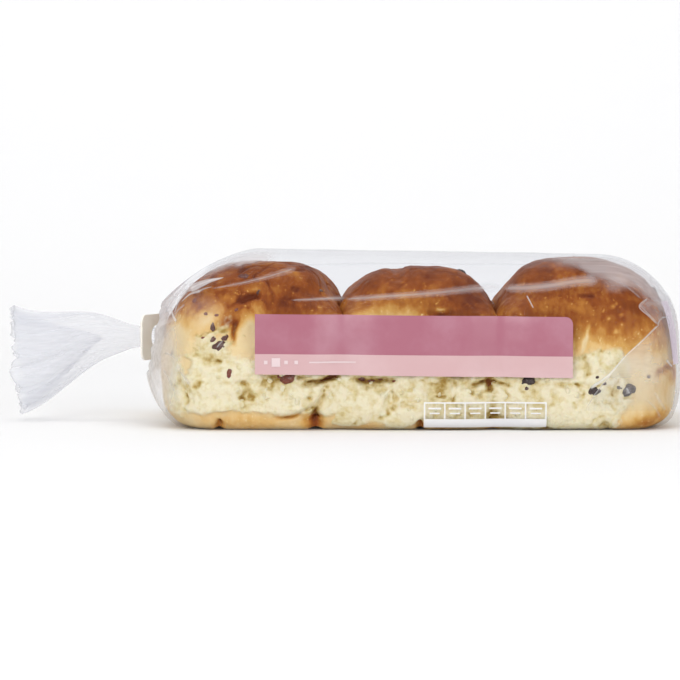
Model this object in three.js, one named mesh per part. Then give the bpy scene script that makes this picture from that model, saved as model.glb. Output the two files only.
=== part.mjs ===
// A clear film bag of currant buns: six soft buns, two rows of three, wrapped tightly. One end of
// the bag is folded shut, the other is gathered to a neck, held by a flat clip and fanned out.
// Millimetres, +Z up, +X towards the folded end, -Y towards the printed front.
import * as THREE from 'three';

// Driving dimensions
const OVERALL_LENGTH = 303;
const BAG_DEPTH = 146;
const BAG_HEIGHT = 77;
const HEIGHT_AT_FOLD = 74.5;
const BUN_PITCH = 68.5;
const MIDDLE_BUN_X = 35;
const CLIP_SIZE = 20.4;
const CLIP_THICKNESS = 0.9;

// Cross-section of the wrapped buns: a superellipse whose underside is cut flat
const SIDE_LEVEL = 33;
const SHOULDER_POWER = 3.6;
const FOOT_POWER = 9;
const BASE_CUT = 1.4;
const TOP_TILT = 1.5;
const GAP_DIP = 3;
const GAP_SHARPNESS = 6;

// Gathered end: where the full section stops, low and high, and where its wall would reach,
// bulging under and over the neck and pulled in to a flat cone at the sides
const GATHER_LOW_X = -64;
const GATHER_HIGH_X = -37;
const GATHER_WALL_X = -89;
const GATHER_SIDE_X = -87;
const GATHER_LOW_POWER = 2;
const GATHER_HIGH_POWER = 1.5;
const NECK_LEVEL = 37.5;
const DIMPLE_X = -78.4;
const DIMPLE_OUTER = 0.42;
const DIMPLE_INNER = 0.29;

// Folded end: where the full section stops, low and high, and how square it is there
const FOLD_LOW_X = 131;
const FOLD_HIGH_X = 113;
const FOLD_LOW_POWER = 3;
const FOLD_HIGH_POWER = 2.1;
const FOLD_LEVEL = 36;

// Neck through the clip, then the fan of loose film
const CLIP_X = -82.9;
const CLIP_TURN = THREE.MathUtils.degToRad(-24.5);
const CLIP_CORNER = 4;
const CLIP_HOLE_RADIUS = 5.2;
const CLIP_HOLE_OFFSET = 4;
const CLIP_MOUTH_WIDTH = 3.2;
const NECK_ROOT_RADIUS = 6.8;
const NECK_RADIUS = 4.3;
const NECK_WAIST_REACH = 4.2;
const FAN_START_X = -94;
const FAN_START_RADIUS = 5.6;
const FAN_HALF_HEIGHT = 24;
const FAN_HALF_DEPTH = 15;
const FAN_RISE = 7;
const FAN_DROOP = 18;
const FAN_PLEATS = 9;
const FAN_PLEAT_DEPTH = 0.17;
const FAN_LOW_CUT = 0.16;
const FAN_RAGGED_CUT = 0.05;
const FAN_RAGGED_TEETH = 6;
const FAN_MOUTH_DEPTH = 9;

// Fineness of the mesh
const AROUND = 48;
const FOLD_RINGS = 9;
const BODY_RINGS = 21;
const GATHER_RINGS = 12;
const FAN_RINGS = 10;

const FILM = new THREE.MeshStandardMaterial({ color: 0xdfe0e6, roughness: 0.22, metalness: 0 });
const CLIP_PLASTIC = new THREE.MeshStandardMaterial({ color: 0xd5cbbe, roughness: 0.5, metalness: 0 });

const { lerp, smoothstep } = THREE.MathUtils;
const HALF_LENGTH = OVERALL_LENGTH / 2;
const HALF_DEPTH = BAG_DEPTH / 2;
const FIRST_GAP_X = MIDDLE_BUN_X - BUN_PITCH / 2;

// A power of a sine or cosine that keeps its sign.
function signedPower(value, power) {
  return Math.sign(value) * Math.abs(value) ** power;
}

// How far the film dips in between two buns at a place along the row: 1 at a gap, 0 at a bun's middle.
function gapCloseness(x) {
  const wave = 0.5 + 0.5 * Math.cos((2 * Math.PI * (x - FIRST_GAP_X)) / BUN_PITCH);
  return wave ** GAP_SHARPNESS;
}

// Height of the taut film over the buns, falling slowly towards the folded end.
function heightAt(x) {
  const along = (x - GATHER_HIGH_X) / (FOLD_HIGH_X - GATHER_HIGH_X);
  return lerp(BAG_HEIGHT, HEIGHT_AT_FOLD, THREE.MathUtils.clamp(along, 0, 1));
}

// A point of the full section: angle 0 is the front, a quarter turn the top. The front row of
// buns is a little taller, so the top tilts back.
function sectionPoint(x, angle) {
  const up = Math.sin(angle) >= 0;
  const power = 2 / (up ? SHOULDER_POWER : FOOT_POWER);
  const across = signedPower(Math.cos(angle), power);
  const rise = signedPower(Math.sin(angle), power);
  const halfDepth = HALF_DEPTH - GAP_DIP * gapCloseness(x);
  const reach = up ? heightAt(x) - SIDE_LEVEL + TOP_TILT * across : SIDE_LEVEL + BASE_CUT;
  return new THREE.Vector3(x, -halfDepth * across, Math.max(0, SIDE_LEVEL + reach * rise));
}

// How high a direction of the section lies, 0 on the base and 1 at the top.
function levelShare(angle) {
  return sectionPoint(MIDDLE_BUN_X, angle).z / heightAt(MIDDLE_BUN_X);
}

function gatherStart(angle) {
  return lerp(GATHER_LOW_X, GATHER_HIGH_X, levelShare(angle) ** 2);
}

function foldStart(angle) {
  return lerp(FOLD_LOW_X, FOLD_HIGH_X, levelShare(angle));
}

// A section shrunk towards a centre on the bag's axis, by a share of its size.
function shrunkPoint(start, level, share, x, angle) {
  const point = sectionPoint(start, angle);
  return new THREE.Vector3(x, point.y * share, level + (point.z - level) * share);
}

function foldPoint(share, angle) {
  const start = foldStart(angle);
  const power = lerp(FOLD_LOW_POWER, FOLD_HIGH_POWER, levelShare(angle));
  const x = start + (HALF_LENGTH - start) * (1 - share ** power) ** (1 / power);
  return shrunkPoint(start, FOLD_LEVEL, share, x, angle);
}

function bodyPoint(along, angle) {
  return sectionPoint(lerp(foldStart(angle), gatherStart(angle), along), angle);
}

function gatherPoint(share, angle) {
  const start = gatherStart(angle);
  const side = Math.cos(angle) ** 2;
  const power = lerp(GATHER_LOW_POWER, GATHER_HIGH_POWER, levelShare(angle));
  const bulge = (1 - share ** power) ** (1 / power);
  const wall = lerp(start, lerp(GATHER_WALL_X, GATHER_SIDE_X, side), bulge);
  const dimple = 1 - smoothstep(share, DIMPLE_INNER, DIMPLE_OUTER);
  return shrunkPoint(start, NECK_LEVEL, share, lerp(wall, DIMPLE_X, dimple), angle);
}

function neckPoint(x, radius, angle) {
  return new THREE.Vector3(x, -radius * Math.cos(angle), NECK_LEVEL + radius * Math.sin(angle));
}

// The fan: a pleated ellipse that grows and droops from the neck to a ragged end.
function fanPoint(along, angle) {
  const low = (1 - Math.sin(angle)) / 2;
  const teeth = 0.5 - 0.5 * Math.cos(FAN_RAGGED_TEETH * (angle - Math.PI / 2));
  const reach = 1 - FAN_LOW_CUT * low ** 2 - FAN_RAGGED_CUT * teeth;
  const level = NECK_LEVEL + FAN_RISE * along - FAN_DROOP * along ** 2;
  const pleat = 1 - FAN_PLEAT_DEPTH * along * (0.5 + 0.5 * Math.cos(FAN_PLEATS * angle));
  const halfHeight = lerp(FAN_START_RADIUS, FAN_HALF_HEIGHT, along);
  const halfDepth = lerp(FAN_START_RADIUS, FAN_HALF_DEPTH, along) * pleat;
  const x = lerp(FAN_START_X, -HALF_LENGTH, along * reach);
  return new THREE.Vector3(x, -halfDepth * Math.cos(angle), level + halfHeight * Math.sin(angle));
}

// Rings of points from the folded end to the fan's mouth.
function bagRings() {
  const rings = [];
  const addRing = (pointAt) => {
    rings.push(Array.from({ length: AROUND }, (_, i) => pointAt((2 * Math.PI * i) / AROUND)));
  };
  for (let i = 1; i < FOLD_RINGS; i++) {
    const share = Math.sin((Math.PI / 2) * (i / FOLD_RINGS));
    addRing((angle) => foldPoint(share, angle));
  }
  for (let i = 0; i <= BODY_RINGS; i++) {
    addRing((angle) => bodyPoint(i / BODY_RINGS, angle));
  }
  const lastTurn = Math.acos(DIMPLE_INNER);
  for (let i = 1; i <= GATHER_RINGS; i++) {
    const share = Math.cos((lastTurn * i) / GATHER_RINGS);
    addRing((angle) => gatherPoint(share, angle));
  }
  addRing((angle) => neckPoint(DIMPLE_X, NECK_ROOT_RADIUS, angle));
  addRing((angle) => neckPoint(CLIP_X + NECK_WAIST_REACH, NECK_RADIUS, angle));
  addRing((angle) => neckPoint(CLIP_X - NECK_WAIST_REACH, NECK_RADIUS, angle));
  for (let i = 0; i <= FAN_RINGS; i++) {
    addRing((angle) => fanPoint(i / FAN_RINGS, angle));
  }
  return rings;
}

// A closed skin over rings of equal length, with a tip at each end.
function loftGeometry(rings, firstTip, lastTip) {
  const points = [...rings.flat(), firstTip, lastTip];
  const first = points.length - 2;
  const last = points.length - 1;
  const at = (ring, i) => ring * AROUND + (i % AROUND);
  const index = [];
  for (let i = 0; i < AROUND; i++) {
    index.push(first, at(0, i + 1), at(0, i));
    index.push(last, at(rings.length - 1, i), at(rings.length - 1, i + 1));
    for (let ring = 0; ring + 1 < rings.length; ring++) {
      const [a, b] = [at(ring, i), at(ring, i + 1)];
      const [c, d] = [at(ring + 1, i), at(ring + 1, i + 1)];
      index.push(a, b, d, a, d, c);
    }
  }
  const geometry = new THREE.BufferGeometry().setFromPoints(points);
  geometry.setIndex(index);
  geometry.computeVertexNormals();
  return geometry;
}

function makeBag() {
  const foldTip = new THREE.Vector3(HALF_LENGTH, 0, FOLD_LEVEL);
  const mouthLevel = NECK_LEVEL + FAN_RISE - FAN_DROOP;
  const mouth = new THREE.Vector3(FAN_MOUTH_DEPTH - HALF_LENGTH, 0, mouthLevel);
  const bag = new THREE.Mesh(loftGeometry(bagRings(), foldTip, mouth), FILM);
  bag.name = 'bag';
  return bag;
}

// The clip's outline about its hole: a square plate with round corners, most of it on one side of
// the hole, and a narrow mouth into the hole from the other.
function clipShape() {
  const half = CLIP_SIZE / 2;
  const middleY = -CLIP_HOLE_OFFSET;
  const mouthHalf = CLIP_MOUTH_WIDTH / 2;
  const mouthTurn = Math.asin(mouthHalf / CLIP_HOLE_RADIUS);
  const corners = [[-1, 1], [-1, -1], [1, -1], [1, 1]];
  const shape = new THREE.Shape();
  shape.moveTo(-mouthHalf, middleY + half);
  corners.forEach(([side, end], i) => {
    const reach = half - CLIP_CORNER;
    const start = Math.PI / 2 + (i * Math.PI) / 2;
    shape.absarc(side * reach, middleY + end * reach, CLIP_CORNER, start, start + Math.PI / 2, false);
  });
  shape.lineTo(mouthHalf, middleY + half);
  shape.absarc(0, 0, CLIP_HOLE_RADIUS, Math.PI / 2 - mouthTurn, Math.PI / 2 + mouthTurn, true);
  shape.closePath();
  return shape;
}

function makeClip() {
  const options = { depth: CLIP_THICKNESS, bevelEnabled: false, curveSegments: 10 };
  const geometry = new THREE.ExtrudeGeometry(clipShape(), options);
  geometry.translate(0, 0, -CLIP_THICKNESS / 2);
  geometry.rotateY(Math.PI / 2);
  const clip = new THREE.Mesh(geometry, CLIP_PLASTIC);
  clip.name = 'clip';
  clip.position.set(CLIP_X, 0, NECK_LEVEL);
  clip.rotation.z = CLIP_TURN;
  return clip;
}

const group = new THREE.Group();
group.add(makeBag(), makeClip());

export default group;
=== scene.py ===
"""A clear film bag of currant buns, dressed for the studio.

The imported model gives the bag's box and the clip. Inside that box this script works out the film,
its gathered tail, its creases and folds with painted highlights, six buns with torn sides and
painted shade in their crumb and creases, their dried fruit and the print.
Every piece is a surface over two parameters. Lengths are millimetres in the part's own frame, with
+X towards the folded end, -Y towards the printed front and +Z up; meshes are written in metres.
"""

import itertools
import logging
import math
from dataclasses import dataclass, field, replace
from enum import Enum
from typing import Any, Callable, Sequence

import bpy
import numpy as np
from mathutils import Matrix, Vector
from numpy.typing import NDArray


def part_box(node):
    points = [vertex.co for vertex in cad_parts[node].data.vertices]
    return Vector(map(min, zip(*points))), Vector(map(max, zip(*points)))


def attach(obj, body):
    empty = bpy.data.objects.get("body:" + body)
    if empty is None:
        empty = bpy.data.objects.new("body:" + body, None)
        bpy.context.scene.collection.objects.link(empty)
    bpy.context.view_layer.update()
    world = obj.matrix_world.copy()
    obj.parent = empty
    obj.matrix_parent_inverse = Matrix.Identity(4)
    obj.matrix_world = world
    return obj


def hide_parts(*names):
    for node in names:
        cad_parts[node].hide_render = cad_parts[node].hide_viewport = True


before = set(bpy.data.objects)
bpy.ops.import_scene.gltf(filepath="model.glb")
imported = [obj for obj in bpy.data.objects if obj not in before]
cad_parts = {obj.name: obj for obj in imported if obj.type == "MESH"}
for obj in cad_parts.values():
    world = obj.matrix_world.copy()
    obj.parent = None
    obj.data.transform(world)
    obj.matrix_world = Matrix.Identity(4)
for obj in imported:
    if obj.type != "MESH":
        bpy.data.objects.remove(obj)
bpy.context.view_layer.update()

Array = NDArray[np.float64]
Triple = tuple[float, float, float]
Colour = Triple
Line = tuple[tuple[float, float], ...]
Range = tuple[float, float]
Stops = tuple[tuple[float, Colour], ...]
Material = bpy.types.Material
Piece = bpy.types.Object
Socket = bpy.types.NodeSocket

LOG = logging.getLogger("currant_buns")
BODY = "root"
BAG_NODE = "bag"
CLIP_NODE = "clip"
MM = 0.001
TURN = 2 * math.pi
HALF_TURN_DEG = 180
TINY = 1e-9
EVEN = (1, 1, 1)
CURVE_STEPS = 16


# Arithmetic on whole arrays


def lerp(start: Any, end: Any, share: Any) -> Any:
    """Straight blend from start to end."""
    return start + (end - start) * share


def smoothstep(value: Any, low: Any, high: Any) -> Any:
    """Smooth step from 0 at low to 1 at high."""
    share = np.clip((value - low) / (high - low), 0, 1)
    return share * share * (3 - 2 * share)


def within(value: Any, low: Any, high: Any, soft: Range) -> Any:
    """1 between two limits and 0 outside them, each limit softened by a half width of its own."""
    rise, fall = soft
    passed = smoothstep(value, high - fall, high + fall)
    return smoothstep(value, low - rise, low + rise) * (1 - passed)


def along(count: int) -> Array:
    """Even steps from 0 to 1 as a column, for the rows of a grid."""
    return np.linspace(0, 1, count)[:, None]


def around(count: int) -> Array:
    """Even steps of a full turn as a row, for the columns of a grid."""
    return np.linspace(0, TURN, count, endpoint=False)[None, :]


def stacked(x: Any, y: Any, z: Any) -> Array:
    """Coordinates of any matching shapes as one array of points."""
    return np.stack(np.broadcast_arrays(x, y, z), axis=-1).astype(np.float64)


def on_circle(turn: Array, radius: float) -> Array:
    """Points on a level circle of a radius, by their turn."""
    return radius * stacked(np.cos(turn), np.sin(turn), 0)


def ring(x: Array, radius: Array, level: float, turn: Array) -> Array:
    """Points round a tube along the bag, by their turn from the front."""
    return stacked(x, -radius * np.cos(turn), level + radius * np.sin(turn))


def grid_normals(points: Array, wraps: bool) -> Array:
    """Unit normals of a grid of points, by the cross product of its two directions.

    Args:
        points: Rows by columns of places.
        wraps: True where the columns close into rings.

    Returns:
        One normal for each point, pointing out for grids laid as `Skin` wants them.
    """
    if wraps:
        across = np.roll(points, -1, axis=1) - np.roll(points, 1, axis=1)
    else:
        across = np.gradient(points, axis=1)
    normals = np.cross(across, np.gradient(points, axis=0))
    return normals / np.maximum(np.linalg.norm(normals, axis=-1, keepdims=True), TINY)


def path_nearest(places: Array, path: Line) -> tuple[Array, Array]:
    """Distance of flat places from a path of straight stretches, and where along it that is.

    Args:
        places: Places with their two coordinates last.
        path: Corners of the path.

    Returns:
        The least distance to any stretch, and the share of the path's length there.
    """
    corners = np.asarray(path, dtype=np.float64)
    runs = np.diff(corners, axis=0)
    lengths = np.linalg.norm(runs, axis=1)
    before = np.concatenate([[0], np.cumsum(lengths)])
    nearest = np.full(places.shape[:-1], np.inf)
    share = np.zeros(places.shape[:-1])
    for start, run, length, passed in zip(corners, runs, lengths, before):
        part = np.clip(((places - start) @ run) / length ** 2, 0, 1)
        away = np.linalg.norm(places - start - part[..., None] * run, axis=-1)
        share = np.where(away < nearest, (passed + part * length) / before[-1], share)
        nearest = np.minimum(nearest, away)
    return nearest, share


def smooth_path(corners: Line, count: int) -> Array:
    """Points evenly spread along a curve through given corners.

    Each stretch is a cubic whose end slopes run between the neighbouring corners.

    Args:
        corners: The points to pass through.
        count: How many points to return.

    Returns:
        Points along the curve, count by two.
    """
    knots = np.asarray(corners, dtype=np.float64)
    slopes = np.gradient(knots, axis=0)
    place = np.linspace(0, len(knots) - 1, CURVE_STEPS * count)
    index = np.minimum(place.astype(int), len(knots) - 2)
    t = (place - index)[:, None]
    start, end = knots[index], knots[index + 1]
    ease = t * t * (3 - 2 * t)
    bend = t * (1 - t) ** 2 * slopes[index] - t * t * (1 - t) * slopes[index + 1]
    dense = lerp(start, end, ease) + bend
    length = np.concatenate([[0], np.cumsum(np.linalg.norm(np.diff(dense, axis=0), axis=1))])
    even = np.linspace(0, length[-1], count)
    return np.stack([np.interp(even, length, dense[:, axis]) for axis in range(2)], axis=-1)


def rows_of(kind: Callable[..., Any], *rows: tuple[Any, ...]) -> tuple[Any, ...]:
    """One thing of a kind for each row of its values."""
    return tuple(kind(*row) for row in rows)


class Noise:
    """Seeded gradient noise: smooth random values for whole arrays of points."""

    LATTICE = 256
    GAIN = 1.6
    LAYER_SHIFT = 31.7

    def __init__(self, seed: int) -> None:
        """Draw the lattice's order and its corners' slopes."""
        draw = np.random.default_rng(seed)
        order = draw.permutation(self.LATTICE)
        self.order = np.concatenate([order, order])
        slopes = draw.normal(size=(self.LATTICE, 3))
        self.slopes = slopes / np.linalg.norm(slopes, axis=1, keepdims=True)

    def at(self, points: Array, size: float) -> Array:
        """Noise with features of one size.

        Every corner of a lattice has a random slope, and the eight ramps round a point are blended
        by a quintic fade.

        Args:
            points: Places, with their coordinates last.
            size: Distance between the lattice's corners.

        Returns:
            Values of about -1 to 1, one for each place.
        """
        scaled = points / size
        cell = np.floor(scaled).astype(np.int64)
        part = scaled - cell
        fade = part ** 3 * (part * (part * 6 - 15) + 10)
        total = np.zeros(points.shape[:-1])
        for corner in itertools.product((0, 1), repeat=3):
            near = np.asarray(corner)
            i, j, k = np.moveaxis((cell + near) % self.LATTICE, -1, 0)
            pick = self.order[self.order[self.order[i] + j] + k]
            weight = np.prod(np.where(near, fade, 1 - fade), axis=-1)
            total += weight * np.sum(self.slopes[pick] * (part - near), axis=-1)
        return self.GAIN * total

    def layered(self, points: Array, size: float, layers: int) -> Array:
        """Sum of layers of noise, each half as large and half as strong as the one before."""
        total = np.zeros(points.shape[:-1])
        for layer in range(layers):
            total += self.at(points + layer * self.LAYER_SHIFT, size / 2 ** layer) / 2 ** layer
        return total

    def ridged(self, points: Array, size: float) -> Array:
        """Sharp crests where the noise crosses zero: 1 at a crest, falling to about -1."""
        return 1 - 2 * np.abs(self.at(points, size))


@dataclass(frozen=True)
class Swell:
    """Noise of a height and a size of feature, with finer layers, read some way off in the noise."""

    height: float
    size: float
    layers: int = 1
    shift: float = 0

    def at(self, noise: Noise, points: Array) -> Array:
        """The height at points."""
        return self.height * noise.layered(points + self.shift, self.size, self.layers)


def summed(points: Array, noise: Noise, swells: Sequence[Swell]) -> Array:
    """Sum of swells at points."""
    return sum(swell.at(noise, points) for swell in swells)


def strayed(points: Array, noise: Noise, swells: Sequence[Swell]) -> Array:
    """Points moved along each axis by a swell of its own."""
    return points + stacked(*(swell.at(noise, points) for swell in swells))


# Meshes from grids


def grid_faces(rows: int, columns: int, wraps: bool) -> NDArray[np.int64]:
    """Four-cornered faces between neighbouring rows and columns of a grid.

    Args:
        rows: Number of rows of points.
        columns: Number of columns of points.
        wraps: True where the last column joins the first.

    Returns:
        The corners' numbers, faces by four.
    """
    row, column = np.meshgrid(
        np.arange(rows - 1), np.arange(columns if wraps else columns - 1), indexing="ij"
    )
    beside = (column + 1) % columns
    here, above = row * columns, (row + 1) * columns
    corners = (here + column, here + beside, above + beside, above + column)
    return np.stack(corners, axis=-1).reshape(-1, 4)


@dataclass
class Skin:
    """A grid of points that becomes a mesh, facing the cross product of column and row directions.

    Attributes:
        points: Rows by columns of places.
        wraps: True where the columns close into rings.
        first_tip: A point that closes the first row, if any.
        last_tip: A point that closes the last row, if any.
        masks: Values for the finish, one for each point of the grid.
    """

    points: Array
    wraps: bool = True
    first_tip: Sequence[float] | None = None
    last_tip: Sequence[float] | None = None
    masks: dict[str, Array] = field(default_factory=dict)

    def faces(self, offset: int) -> list[NDArray[np.int64]]:
        """Faces of the grid and of its tips.

        Args:
            offset: Number of the first point.

        Returns:
            The corners' numbers, for the grid and for each tip.
        """
        rows, columns = self.points.shape[:2]
        here = np.arange(columns)
        beside = np.roll(here, -1)
        tip = rows * columns
        found = [grid_faces(rows, columns, self.wraps)]
        if self.first_tip is not None:
            found.append(np.stack([np.full(columns, tip), beside, here], axis=-1))
            tip += 1
        if self.last_tip is not None:
            last = (rows - 1) * columns
            found.append(np.stack([last + here, last + beside, np.full(columns, tip)], axis=-1))
        return [corners + offset for corners in found]

    def moved(self, change: Callable[[Array], Array]) -> "Skin":
        """The same skin with its points and tips moved."""
        ends = (self.first_tip, self.last_tip)
        first, last = (None if tip is None else change(np.asarray([tip], float))[0] for tip in ends)
        return replace(self, points=change(self.points), first_tip=first, last_tip=last)

    def places(self) -> Array:
        """All points in a flat list, the tips last."""
        ends = (self.first_tip, self.last_tip)
        tips = [np.asarray([tip], float) for tip in ends if tip is not None]
        return np.concatenate([self.points.reshape(-1, 3), *tips])

    def mask(self, name: str) -> Array:
        """One mask's values in a flat list, each tip taking its row's mean."""
        values = self.masks[name]
        ends = ((self.first_tip, values[0]), (self.last_tip, values[-1]))
        tips = [np.asarray([row.mean()]) for tip, row in ends if tip is not None]
        return np.concatenate([values.ravel(), *tips])


def make_piece(name: str, skins: Sequence[Skin], finish: Material) -> Piece:
    """Join skins into one mesh object, dress it and let it ride on the bag's body.

    Args:
        name: The piece's name.
        skins: Grids that make up the piece, all with the same masks.
        finish: The piece's material.

    Returns:
        The new object, which stands for the bag's solid.
    """
    places = [skin.places() for skin in skins]
    starts = np.cumsum([0] + [len(part) for part in places])
    faces = [part for skin, start in zip(skins, starts) for part in skin.faces(int(start))]
    points = np.concatenate(places) * MM
    corners = np.concatenate([part.ravel() for part in faces])
    sizes = np.concatenate([np.full(len(part), part.shape[1]) for part in faces])
    mesh = bpy.data.meshes.new(name)
    mesh.vertices.add(len(points))
    mesh.vertices.foreach_set("co", points.astype(np.float32).ravel())
    mesh.loops.add(len(corners))
    mesh.loops.foreach_set("vertex_index", corners.astype(np.int32))
    mesh.polygons.add(len(sizes))
    mesh.polygons.foreach_set("loop_start", (np.cumsum(sizes) - sizes).astype(np.int32))
    for mask in skins[0].masks:
        values = np.concatenate([skin.mask(mask) for skin in skins]).astype(np.float32)
        mesh.attributes.new(mask, "FLOAT", "POINT").data.foreach_set("value", values)
    mesh.update(calc_edges=True)
    mesh.validate()
    mesh.shade_smooth()
    mesh.materials.append(finish)
    piece = bpy.data.objects.new(name, mesh)
    bpy.context.scene.collection.objects.link(piece)
    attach(piece, BODY)
    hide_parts(BAG_NODE)
    LOG.info("%s: %d points, %d faces", name, len(points), len(sizes))
    return piece


# Finishes


class Tree:
    """A material's nodes, added and linked in one call each."""

    def __init__(self, nodes: bpy.types.NodeTree) -> None:
        """Start on an empty node tree."""
        self.nodes = nodes
        self.nodes.nodes.clear()

    def add(self, kind: str, inputs: dict[Any, Any] | None = None, **settings: Any) -> bpy.types.Node:
        """Add a node.

        Args:
            kind: The node's type, without its ShaderNode prefix.
            inputs: Socket names or numbers with a value each, or with another node's socket to link.
            settings: Properties of the node itself.

        Returns:
            The new node.
        """
        node = self.nodes.nodes.new("ShaderNode" + kind)
        for name, value in settings.items():
            setattr(node, name, value)
        for socket, value in (inputs or {}).items():
            if isinstance(value, Socket):
                self.nodes.links.new(value, node.inputs[socket])
            else:
                node.inputs[socket].default_value = value
        return node

    def math(self, operation: str, first: Any, second: Any, clamp: bool = False) -> Socket:
        """One sum on two values."""
        return self.add("Math", {0: first, 1: second}, operation=operation, use_clamp=clamp).outputs[0]

    def scaled(self, value: Any, gain: float, offset: float) -> Socket:
        """A value times a gain plus an offset."""
        return self.add("Math", {0: value, 1: gain, 2: offset}, operation="MULTIPLY_ADD").outputs[0]

    def step(self, value: Any, low: float, high: float) -> Socket:
        """A smooth step of a value, 0 at low and 1 at high."""
        inputs = {"Value": value, "From Min": low, "From Max": high}
        return self.add("MapRange", inputs, interpolation_type="SMOOTHSTEP").outputs[0]

    def tint(self, share: Any, first: Any, second: Any) -> Socket:
        """A blend of two colours."""
        factor, start, end, result = 0, 6, 7, 2
        inputs = {factor: share, start: opaque(first), end: opaque(second)}
        return self.add("Mix", inputs, data_type="RGBA").outputs[result]

    def ramp(self, share: Any, stops: Stops) -> Socket:
        """A colour from a row of stops.

        Args:
            share: Where to read the row, 0 to 1.
            stops: Places from 0 to 1, with a colour each.

        Returns:
            The colour.
        """
        node = self.add("ValToRGB", {0: share})
        elements = node.color_ramp.elements
        while len(elements) < len(stops):
            elements.new(0.5)
        for element, (place, colour) in zip(elements, stops):
            element.position = place
            element.color = opaque(colour)
        return node.outputs[0]

    def mask(self, name: str) -> Socket:
        """A value that the mesh holds at each of its points."""
        return self.add("Attribute", attribute_name=name).outputs["Fac"]

    def mottle(self, size: float, detail: float = 2, stretch: Triple = EVEN) -> Socket:
        """The shared uneven pattern; about 0.5 on average.

        Args:
            size: Size of its patches in millimetres.
            detail: How many finer layers it has.
            stretch: Scale along each axis, longer patches below 1.

        Returns:
            The pattern's value.
        """
        inputs = {"Patch Size": size, "Detail": detail, "Stretch": stretch}
        return self.add("Group", inputs, node_tree=mottle_group()).outputs["Value"]

    def uneven(self, *parts: tuple[Socket, float]) -> Socket:
        """The sum of patterns about 0.5, each turned into a change about 0 of its own strength."""
        total, *others = (self.scaled(part, strength, -0.5 * strength) for part, strength in parts)
        for change in others:
            total = self.math("ADD", total, change)
        return total

    def bumped(self, height: Socket, strength: float, depth: float) -> Socket:
        """A normal bent by a height, with a strength and a depth in millimetres."""
        inputs = {"Strength": strength, "Distance": depth * MM, "Height": height}
        return self.add("Bump", inputs).outputs[0]

    def finish(self, shader: bpy.types.Node) -> None:
        """Send a shader to the surface."""
        self.add("OutputMaterial", {"Surface": shader.outputs[0]})


def opaque(colour: Any) -> Any:
    """A plain colour with its alpha, or a socket as it is."""
    return colour if isinstance(colour, Socket) else (*colour[:3], 1)


def new_material(name: str) -> tuple[Material, Tree]:
    """An empty material and its tree."""
    material = bpy.data.materials.new(name)
    material.use_nodes = True
    return material, Tree(material.node_tree)


def mottle_group() -> bpy.types.NodeTree:
    """The shared node group of uneven patches: soft noise on Object coordinates.

    Returns:
        The group, made once: Patch Size in millimetres, Detail and Stretch go in, and Value comes out.
    """
    name = "uneven_patches"
    if name in bpy.data.node_groups:
        return bpy.data.node_groups[name]
    group = bpy.data.node_groups.new(name, "ShaderNodeTree")
    for label, kind in (("Patch Size", "Float"), ("Detail", "Float"), ("Stretch", "Vector")):
        group.interface.new_socket(label, in_out="INPUT", socket_type="NodeSocket" + kind)
    group.interface.new_socket("Value", in_out="OUTPUT", socket_type="NodeSocketFloat")
    tree = Tree(group)
    entry = group.nodes.new("NodeGroupInput")
    leave = group.nodes.new("NodeGroupOutput")
    scale = tree.math("DIVIDE", 1 / MM, entry.outputs["Patch Size"])
    coordinates = tree.add("TexCoord").outputs["Object"]
    stretched = {0: coordinates, 1: entry.outputs["Stretch"]}
    pulled = tree.add("VectorMath", stretched, operation="MULTIPLY").outputs[0]
    inputs = {"Vector": pulled, "Scale": scale, "Detail": entry.outputs["Detail"]}
    noise = tree.add("TexNoise", inputs, noise_dimensions="3D")
    group.links.new(noise.outputs[0], leave.inputs["Value"])
    return group


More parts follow.
